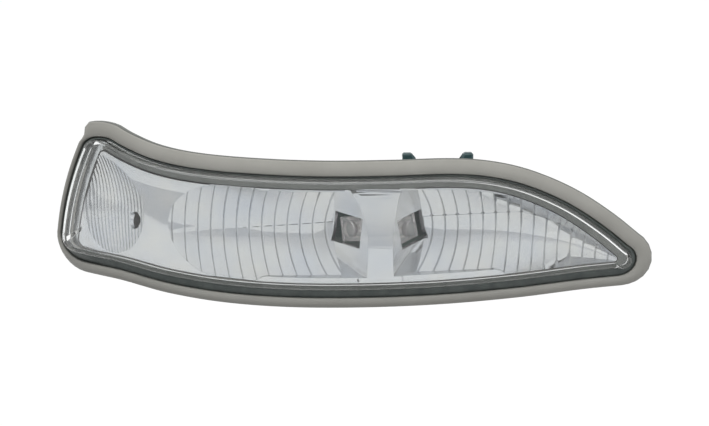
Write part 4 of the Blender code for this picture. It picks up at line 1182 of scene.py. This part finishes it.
def led_wall(side):
    edge = Vector((side * BRIDGE_HALF_WIDTH, plate_y(0.0, 0.0), 0.0))
    along = Vector((side * cos(LED_WALL_ANGLE), sin(LED_WALL_ANGLE), 0.0))
    inward = Vector((-side * along.y, along.x * side, 0.0))
    return edge, along, inward


def wall_point(side):
    edge, along, _ = led_wall(side)
    reach = (LED_WALL_CENTRE - BRIDGE_HALF_WIDTH) / abs(along.x)
    point = edge + along * reach
    return Vector((point.x, point.y, LED_HEIGHT - GAP))


def pod_net(places, surface):
    net = []
    for column in places:
        line = []
        for x, z, *_ in column:
            plate = plate_y(x, z)
            back = max(surface(x, z) + PLATE_WALL, plate + PLATE_WALL * POD_THINNEST)
            line.append((x, z, plate + PLATE_WALL * POD_FRONT, back))
        net.append(line)
    return net


def make_bowl(side):
    """The air in one bowl, and the pod that is its wall from behind, with fewer places."""
    net = []
    for column in bowl_places(side, True):
        net.append([(x, z, FAR_FRONT, fluted_y(side, x, z, t, part)) for x, z, t, part in column])
    air = block_between("bowl_air", net)
    places = [column[::2] for column in bowl_places(side, False)[::5]]
    pod = block_between("bowl_pod", pod_net(places, lambda x, z: bowl_y(side, x, z)))
    edge, _, inward = led_wall(side)
    trim(air, edge, inward)
    if side < 0:
        cut(air, left_bowl_outline(), "INTERSECT")
    trim(pod, edge + inward * PLATE_WALL * POD_BEHIND_WALL, inward)
    return air, pod


def bridge_net(half_x, low, high, front, back):
    heights = [low + (high - low) * k / BRIDGE_ROWS for k in range(BRIDGE_ROWS + 1)]
    return [[(x, z, front(x, z), back(x, z)) for z in heights] for x in (-half_x, half_x)]


def make_bridge():
    foot = BRIDGE_HALF_WIDTH + BOWL_DEPTH / tan(LED_WALL_ANGLE)
    back = plate_y(0.0, 0.0) + BOWL_DEPTH + PLATE_WALL
    low, high = plate_bottom(0.0), plate_top(0.0)
    over = PLATE_WALL
    body = block_between("bridge", bridge_net(foot, low - over, high + over, bridge_y, lambda x, z: back))
    free = block_between(
        "bridge_air", bridge_net(BRIDGE_AIR_HALF, low - over, high + over, lambda x, z: FAR_FRONT, bridge_y)
    )
    hollow = block_between(
        "bridge_hollow",
        bridge_net(
            foot,
            low + DRAFT + 2 * PLATE_WALL,
            high - DRAFT - 2 * PLATE_WALL,
            lambda x, z: bridge_y(x, z) + PLATE_WALL,
            lambda x, z: back + PLATE_WALL,
        ),
    )
    for side in (-1, 1):
        edge, _, inward = led_wall(side)
        trim(body, edge - inward * PLATE_WALL, -inward)
        trim(hollow, edge + inward * PLATE_WALL, -inward)
    return body, free, hollow


def side_bowl_lean(above):
    return max(above, 0.0) ** 2 / (2 * SIDE_BOWL_LEAN_RADIUS)


def side_bowl_y(x, z):
    centre_x, centre_z = SIDE_BOWL_CENTRE
    above = z - centre_z
    across = (x - centre_x + side_bowl_lean(above)) / SIDE_BOWL_WIDTH
    up = above / (SIDE_BOWL_UP if above > 0 else SIDE_BOWL_DOWN)
    return plate_y(x, z) + SIDE_BOWL_DEPTH * (1 - across**2 - up**2)


def side_bowl_places(steps, rows, reach):
    """A net over the side bowl: (x, z, place in a ring), with this many columns to a ring."""
    centre_x, centre_z = SIDE_BOWL_CENTRE
    half = SIDE_BOWL_WIDTH * reach
    rings = 2 * round(half / SIDE_RING_PITCH)
    count = rings * steps
    net = []
    for k in range(count + 1):
        column = []
        for t in range(rows + 1):
            up = 2 * t / rows - 1
            above = up * reach * (SIDE_BOWL_UP if up > 0 else SIDE_BOWL_DOWN)
            bow = SIDE_BOWL_WIDTH * SIDE_RING_BOW * up * up * (1 - k / count)
            x = centre_x - half + k * 2 * half / count + bow - side_bowl_lean(above)
            column.append((x, centre_z + above, k % steps / steps))
        net.append(column)
    return net


def make_side_bowl():
    net = []
    for column in side_bowl_places(*SIDE_AIR_NET):
        line = []
        for x, z, part in column:
            line.append((x, z, FAR_FRONT, side_bowl_y(x, z) - SIDE_RING_RELIEF * sin(pi * part)))
        net.append(line)
    air = block_between("side_bowl_air", net)
    return air, block_between("side_pod", pod_net(side_bowl_places(*SIDE_POD_NET), side_bowl_y))


def led_window_tool(side):
    _, along, inward = led_wall(side)
    lean = radians(LED_TURNS["left" if side < 0 else "right"])
    wide, high = LED_WINDOW
    bpy.ops.mesh.primitive_cube_add(size=1.0, scale=(wide, PLATE_WALL * 4, high))
    tool = bpy.context.object
    settle(tool)
    turn = Matrix((along, inward, Vector((0, 0, 1)))).transposed().to_4x4() @ Matrix.Rotation(-lean, 4, "Y")
    tool.data.transform(Matrix.Translation(wall_point(side)) @ turn)
    if turn.determinant() < 0:
        tool.data.flip_normals()
    return tool


def side_window_place():
    return plate_y(SIDE_WINDOW_EDGE, SIDE_WINDOW_HEIGHT) + SIDE_WINDOW_BEHIND, SIDE_WINDOW_HEIGHT


def side_window_tool():
    y, z = side_window_place()
    start = SIDE_BOWL_CENTRE[0] + SIDE_BOWL_WIDTH * SIDE_WINDOW_START
    end = SIDE_BOWL_CENTRE[0] + SIDE_BOWL_WIDTH + PLATE_WALL * SIDE_WINDOW_BEYOND
    bpy.ops.mesh.primitive_cylinder_add(
        vertices=40,
        radius=SIDE_WINDOW_RADIUS,
        depth=end - start,
        location=((start + end) / 2, y, z),
        rotation=(0, radians(90), 0),
    )
    tool = bpy.context.object
    settle(tool)
    return tool


def bridge_slot():
    """The narrow slot along the bridge's top."""
    top = plate_top(0.0)
    left, right = SLOT_ENDS
    low, high = SLOT_HEIGHTS
    return block(
        (-BRIDGE_HALF_WIDTH - left, FAR_FRONT, top - low),
        (BRIDGE_HALF_WIDTH + right, bridge_y(0.0, top) + SLOT_DEPTH, top - high),
    )


def make_reflector(finish):
    seat = ring(0.0, SEAT_DEPTH)
    plate = lofted(
        "reflector_moulding",
        [
            drawn_ring(seat, GAP, lambda x, z: plate_y(x, z) - panel_fillet(x, z)),
            drawn_ring(seat, GAP, lambda x, z: plate_y(x, z) + PLATE_WALL),
        ],
        rows=26,
    )
    near, far = POD_CLEARANCES
    limit = lofted(
        "pod_limit",
        [
            drawn_ring(seat, GAP + near, lambda x, z: plate_y(x, z) - PLATE_WALL * 2),
            drawn_ring(seat, GAP + near, plate_y),
            drawn_ring(seat, GAP + far, lambda x, z: floor_y(x) - HOUSING_WALL - GAP),
        ],
        rows=4,
    )
    bowls = [make_bowl(side) for side in (-1, 1)]
    side_air, side_pod = make_side_bowl()
    bridge, bridge_air, bridge_hollow = make_bridge()
    for pod in (bowls[0][1], bowls[1][1], side_pod):
        cut(bridge, pod, "UNION")
    cut(bridge, limit, "INTERSECT")
    cut(plate, bridge, "UNION")
    for place in POST_PLACES.values():
        start = bowl_y(-1 if place[0] < 0 else 1, *place) + PLATE_WALL * POST_SUNK
        cut(plate, bar(place, start, -PAD_HEIGHT - HOUSING_WALL - GAP, POST_RADIUS), "UNION")
    for air in (bridge_hollow, bowls[0][0], bowls[1][0], bridge_air, side_air):
        cut(plate, air)
    for side in (-1, 1):
        cut(plate, led_window_tool(side))
    cut(plate, side_window_tool())
    cut(plate, bridge_slot())
    smooth(plate, 22)
    return keep(plate, "reflector_moulding", finish, "metallised_plastic", "reflector")


# LEDs


def led_frames():
    """Where each LED's board face is, with +Z the way the LED shines."""
    frames = {}
    for name, side in (("left", -1), ("right", 1)):
        _, along, inward = led_wall(side)
        middle = wall_point(side) + inward * LED_SET_BACK
        up = (-inward).cross(along)
        frames[name] = Matrix.Translation(middle) @ Matrix((along, up, -inward)).transposed().to_4x4()
    window_y, window_z = side_window_place()
    x = SIDE_WINDOW_EDGE + PLATE_WALL * SIDE_LED_BEYOND + LED_SET_BACK
    along, shine = Vector((0, 1, 0)), Vector((-1, 0, 0))
    turn = Matrix((along, shine.cross(along), shine)).transposed().to_4x4()
    frames["side"] = Matrix.Translation((x, window_y + SIDE_LED_OFFSET, window_z)) @ turn
    return frames


def make_leds(finishes):
    for name, place in led_frames().items():
        make_led_body(name, place, finishes["led_clear"])
        make_led_inside(name, place, finishes)


def make_led_body(name, place, finish):
    """The square clear body with softened edges and its dome."""
    half = LED_SIZE / 2
    top = LED_FOOT + LED_THICKNESS
    body = block((-half, -half, LED_FOOT), (half, half, top))
    rounded(body, LED_EDGE, 3)
    bpy.ops.mesh.primitive_uv_sphere_add(
        segments=48, ring_count=24, radius=LED_DOME, location=(0, 0, top - LED_DOME * LED_DOME_SUNK)
    )
    dome = bpy.context.object
    settle(dome)
    cut(body, dome, "UNION")
    body.data.transform(place @ Matrix.Rotation(radians(LED_TURNS[name]), 4, "Z"))
    smooth(body, 35)
    keep(body, f"led_{name}_body", finish, "led_clear", f"led_{name}")


def upright_cone(x, low, high, radius, end_radius):
    bpy.ops.mesh.primitive_cone_add(
        vertices=40, radius1=radius, radius2=end_radius, depth=high - low, location=(x, 0, (low + high) / 2)
    )
    obj = bpy.context.object
    settle(obj)
    return obj


def make_led_inside(name, place, finishes):
    """Under the clear body: two lead plates, the reflector cup with its chip, and the bond wire."""
    plate, other = (
        block((start, -LEAD_PLATE_HALF, GAP), (end, LEAD_PLATE_HALF, LEAD_PLATE_TOP))
        for start, end in LEAD_PLATE_SPANS
    )
    floor_radius, cup_radius = CUP_RADII
    cup = upright_cone(CUP_X, CUP_FOOT, CUP_TOP, cup_radius, cup_radius)
    cut(cup, upright_cone(CUP_X, LEAD_PLATE_TOP, LED_FOOT, floor_radius, cup_radius))
    cut(plate, cup, "UNION")
    work_on(plate)
    other.select_set(True)
    bpy.ops.object.join()
    rounded(plate, LEAD_PLATE_EDGE, 1)
    smooth(plate, 35)
    low, high = CHIP_HEIGHTS
    chip = block((CUP_X - CHIP_HALF, -CHIP_HALF, low), (CUP_X + CHIP_HALF, CHIP_HALF, high))
    rounded(chip, CHIP_EDGE, 1)
    bpy.ops.mesh.primitive_torus_add(
        major_radius=WIRE_BEND, minor_radius=WIRE_RADIUS, major_segments=40, minor_segments=8,
        location=(WIRE_X, 0, LEAD_PLATE_TOP), rotation=(radians(90), 0, 0),
    )
    wire = bpy.context.object
    settle(wire)
    trim(wire, Vector((0, 0, WIRE_CUT)), Vector((0, 0, -1)))
    wire.data.transform(Matrix.Diagonal((1.0, 1.0, WIRE_FLATNESS, 1.0)))
    smooth(wire, 60)
    for piece, kind, finish, slot in (
        (plate, "lead_plates", "tinned_lead", "tinned_lead"),
        (chip, "chip", "die", "chip_black"),
        (wire, "bond_wire", "gold", "tinned_lead"),
    ):
        piece.data.transform(place)
        keep(piece, f"led_{name}_{kind}", finishes[finish], slot)


# Parts behind the housing


def make_back_parts(finishes):
    zinc = finishes["zinc_steel"]
    for name, place in POST_PLACES.items():
        make_screw(f"reflector_screw_{name}", place, -PAD_HEIGHT + GAP, 1, zinc)
    for name, place in BOARD_SCREW_PLACES.items():
        make_screw(f"board_screw_{name}", place, MAIN_BOARD_Y - BOARD_THICKNESS - GAP, -1, zinc)
    for source, edge, slot in (
        ("connector_shroud", SOCKET_EDGE, "black_plastic"),
        ("vent_plug", SMALL_EDGE, "black_plastic"),
        ("clip_left", SMALL_EDGE, "dark_plastic"),
        ("clip_right", SMALL_EDGE, "dark_plastic"),
    ):
        piece = smoothed_copy(source, 30)
        rounded(piece, edge, 3, 35)
        smooth(piece, 35)
        keep(piece, f"{source}_moulding", finishes[slot], slot, source)


def make_screw(name, place, seat, way, finish):
    """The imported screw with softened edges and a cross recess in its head. way is where its head looks."""
    screw = smoothed_copy(name, 30)
    rounded(screw, SCREW_EDGE, 3, 40)
    face = seat + way * SCREW_HEAD_HEIGHT
    for turn in (RECESS_TURN, RECESS_TURN + 90):
        arm = block(-Vector(RECESS_HALF), RECESS_HALF)
        arm.data.transform(
            Matrix.Translation((place[0], face, place[1])) @ Matrix.Rotation(radians(turn), 4, "Y")
        )
        cut(screw, arm)
    smooth(screw, 35)
    keep(screw, f"{name}_cross_head", finish, "zinc_steel", name)


# Stage


def make_camera():
    back = Vector((
        sin(CAMERA_AZIMUTH) * cos(CAMERA_ELEVATION),
        -cos(CAMERA_AZIMUTH) * cos(CAMERA_ELEVATION),
        sin(CAMERA_ELEVATION),
    ))
    bpy.ops.object.camera_add(location=CAMERA_TARGET + back * CAMERA_DISTANCE)
    camera = bpy.context.object
    camera.name = "camera"
    camera.rotation_euler = (-back).to_track_quat("-Z", "Y").to_euler()
    camera.data.lens = CAMERA_LENS
    camera.data.clip_start, camera.data.clip_end = 0.01, 50.0
    bpy.context.scene.camera = camera


def make_lamp(name, place, size, power, tint, mirrored):
    """A soft lamp. Clear plastic shows the white studio through itself, and not the lamp."""
    bpy.ops.object.light_add(type="AREA", location=place)
    lamp = bpy.context.object
    lamp.name = name
    lamp.data.shape = "RECTANGLE"
    lamp.data.size, lamp.data.size_y = size
    lamp.data.energy = power
    lamp.data.color = tint
    lamp.visible_glossy = mirrored
    lamp.visible_transmission = False
    lamp.rotation_euler = (LAMP_AIM - Vector(place)).to_track_quat("-Z", "Y").to_euler()


def seen_by_eye(finish):
    """1 for what the camera, metal and glass see, and 0 for soft light."""
    path = node(finish, "ShaderNodeLightPath")
    seen, output = path, "Is Camera Ray"
    for ray in ("Is Glossy Ray", "Is Transmission Ray"):
        either = node(finish, "ShaderNodeMath")
        either.operation = "MAXIMUM"
        link(finish, seen, output, either, 0)
        link(finish, path, ray, either, 1)
        seen, output = either, "Value"
    return seen


def make_world():
    """White where the camera, glass and metal look, and a soft even light for the rest."""
    world = bpy.data.worlds.new("studio")
    world.use_nodes = True
    bpy.context.scene.world = world
    background = world.node_tree.nodes["Background"]
    tone = node(world, "ShaderNodeMix")
    tone.data_type = "RGBA"
    tone.inputs["A"].default_value = (SOFT_LIGHT, SOFT_LIGHT, SOFT_LIGHT, 1.0)
    tone.inputs["B"].default_value = (*WHITE, 1.0)
    link(world, seen_by_eye(world), "Value", tone, "Factor")
    link(world, tone, "Result", background, "Color")
    background.inputs["Strength"].default_value = 1.0


def make_floor():
    """A pale floor that the camera, glass and metal see as white, with the lamp's shadow on it."""
    bpy.ops.mesh.primitive_plane_add(size=6.0, location=(0, 0, FLOOR_LEVEL))
    floor = bpy.context.object
    floor.name = "floor"
    settle(floor)
    finish = new_finish("pale floor", Base_Color=(FLOOR_BASE, FLOOR_BASE, FLOOR_BASE, 1.0), Roughness=0.9)
    nodes = finish.node_tree.nodes
    glow = node(finish, "ShaderNodeEmission", Color=(*WHITE, 1.0), Strength=FLOOR_GLOW)
    shaded = node(finish, "ShaderNodeBsdfDiffuse", Color=(FLOOR_SHADE, FLOOR_SHADE, FLOOR_SHADE, 1.0))
    either = mixed(finish, nodes["Principled BSDF"], mixed(finish, glow, shaded, FLOOR_SHADE_SHARE))
    link(finish, seen_by_eye(finish), "Value", either, "Fac")
    link(finish, either, "Shader", nodes["Material Output"], "Surface")
    floor.data.materials.append(finish)


def make_card():
    """A standing card that only bright metal and glass show. It fades to white at its top and bottom."""
    bpy.ops.mesh.primitive_plane_add(size=1.0, location=CARD_PLACE, rotation=(radians(90), 0, 0))
    card = bpy.context.object
    card.name = "grey_wall"
    card.scale = (*CARD_SIZE, 1)
    settle(card)
    finish = new_finish("grey_wall")
    spot, axes = node(finish, "ShaderNodeTexCoord"), node(finish, "ShaderNodeSeparateXYZ")
    low, high = CARD_PLACE[2] - CARD_SIZE[1] / 2, CARD_PLACE[2] + CARD_SIZE[1] / 2
    share = node(finish, "ShaderNodeMapRange", From_Min=low, From_Max=high)
    tones = node(finish, "ShaderNodeValToRGB")
    tones.color_ramp.interpolation = "EASE"
    set_tones(tones, ((0, WHITE), (0.5, CARD_TONE), (1, WHITE)))
    glow = node(finish, "ShaderNodeEmission", Strength=1.0)
    link(finish, spot, "Object", axes, "Vector")
    link(finish, axes, "Z", share, "Value")
    link(finish, share, "Result", tones, "Fac")
    link(finish, tones, "Color", glow, "Color")
    link(finish, glow, "Emission", finish.node_tree.nodes["Material Output"], "Surface")
    card.data.materials.append(finish)
    card.visible_camera = False
    card.visible_diffuse = False
    card.visible_shadow = False


def main():
    bpy.context.scene.view_settings.view_transform = "Standard"
    finishes = all_finishes()
    for part in frame["record"]["subparts"]:
        obj = frame["nodes"][part["node"]]
        obj.data.materials.clear()
        obj.data.materials.append(finishes[part["material_slot"]])
    make_lens(finishes["clear_plastic"])
    make_bead(finishes["dark_seal"])
    make_reflector(finishes["metallised_plastic"])
    make_housing(finishes["grey_plastic"], finishes["seat_shade"], finishes["end seat"])
    make_leds(finishes)
    make_back_parts(finishes)
    make_camera()
    make_world()
    make_floor()
    make_card()
    for lamp in LAMPS:
        make_lamp(*lamp)


main()
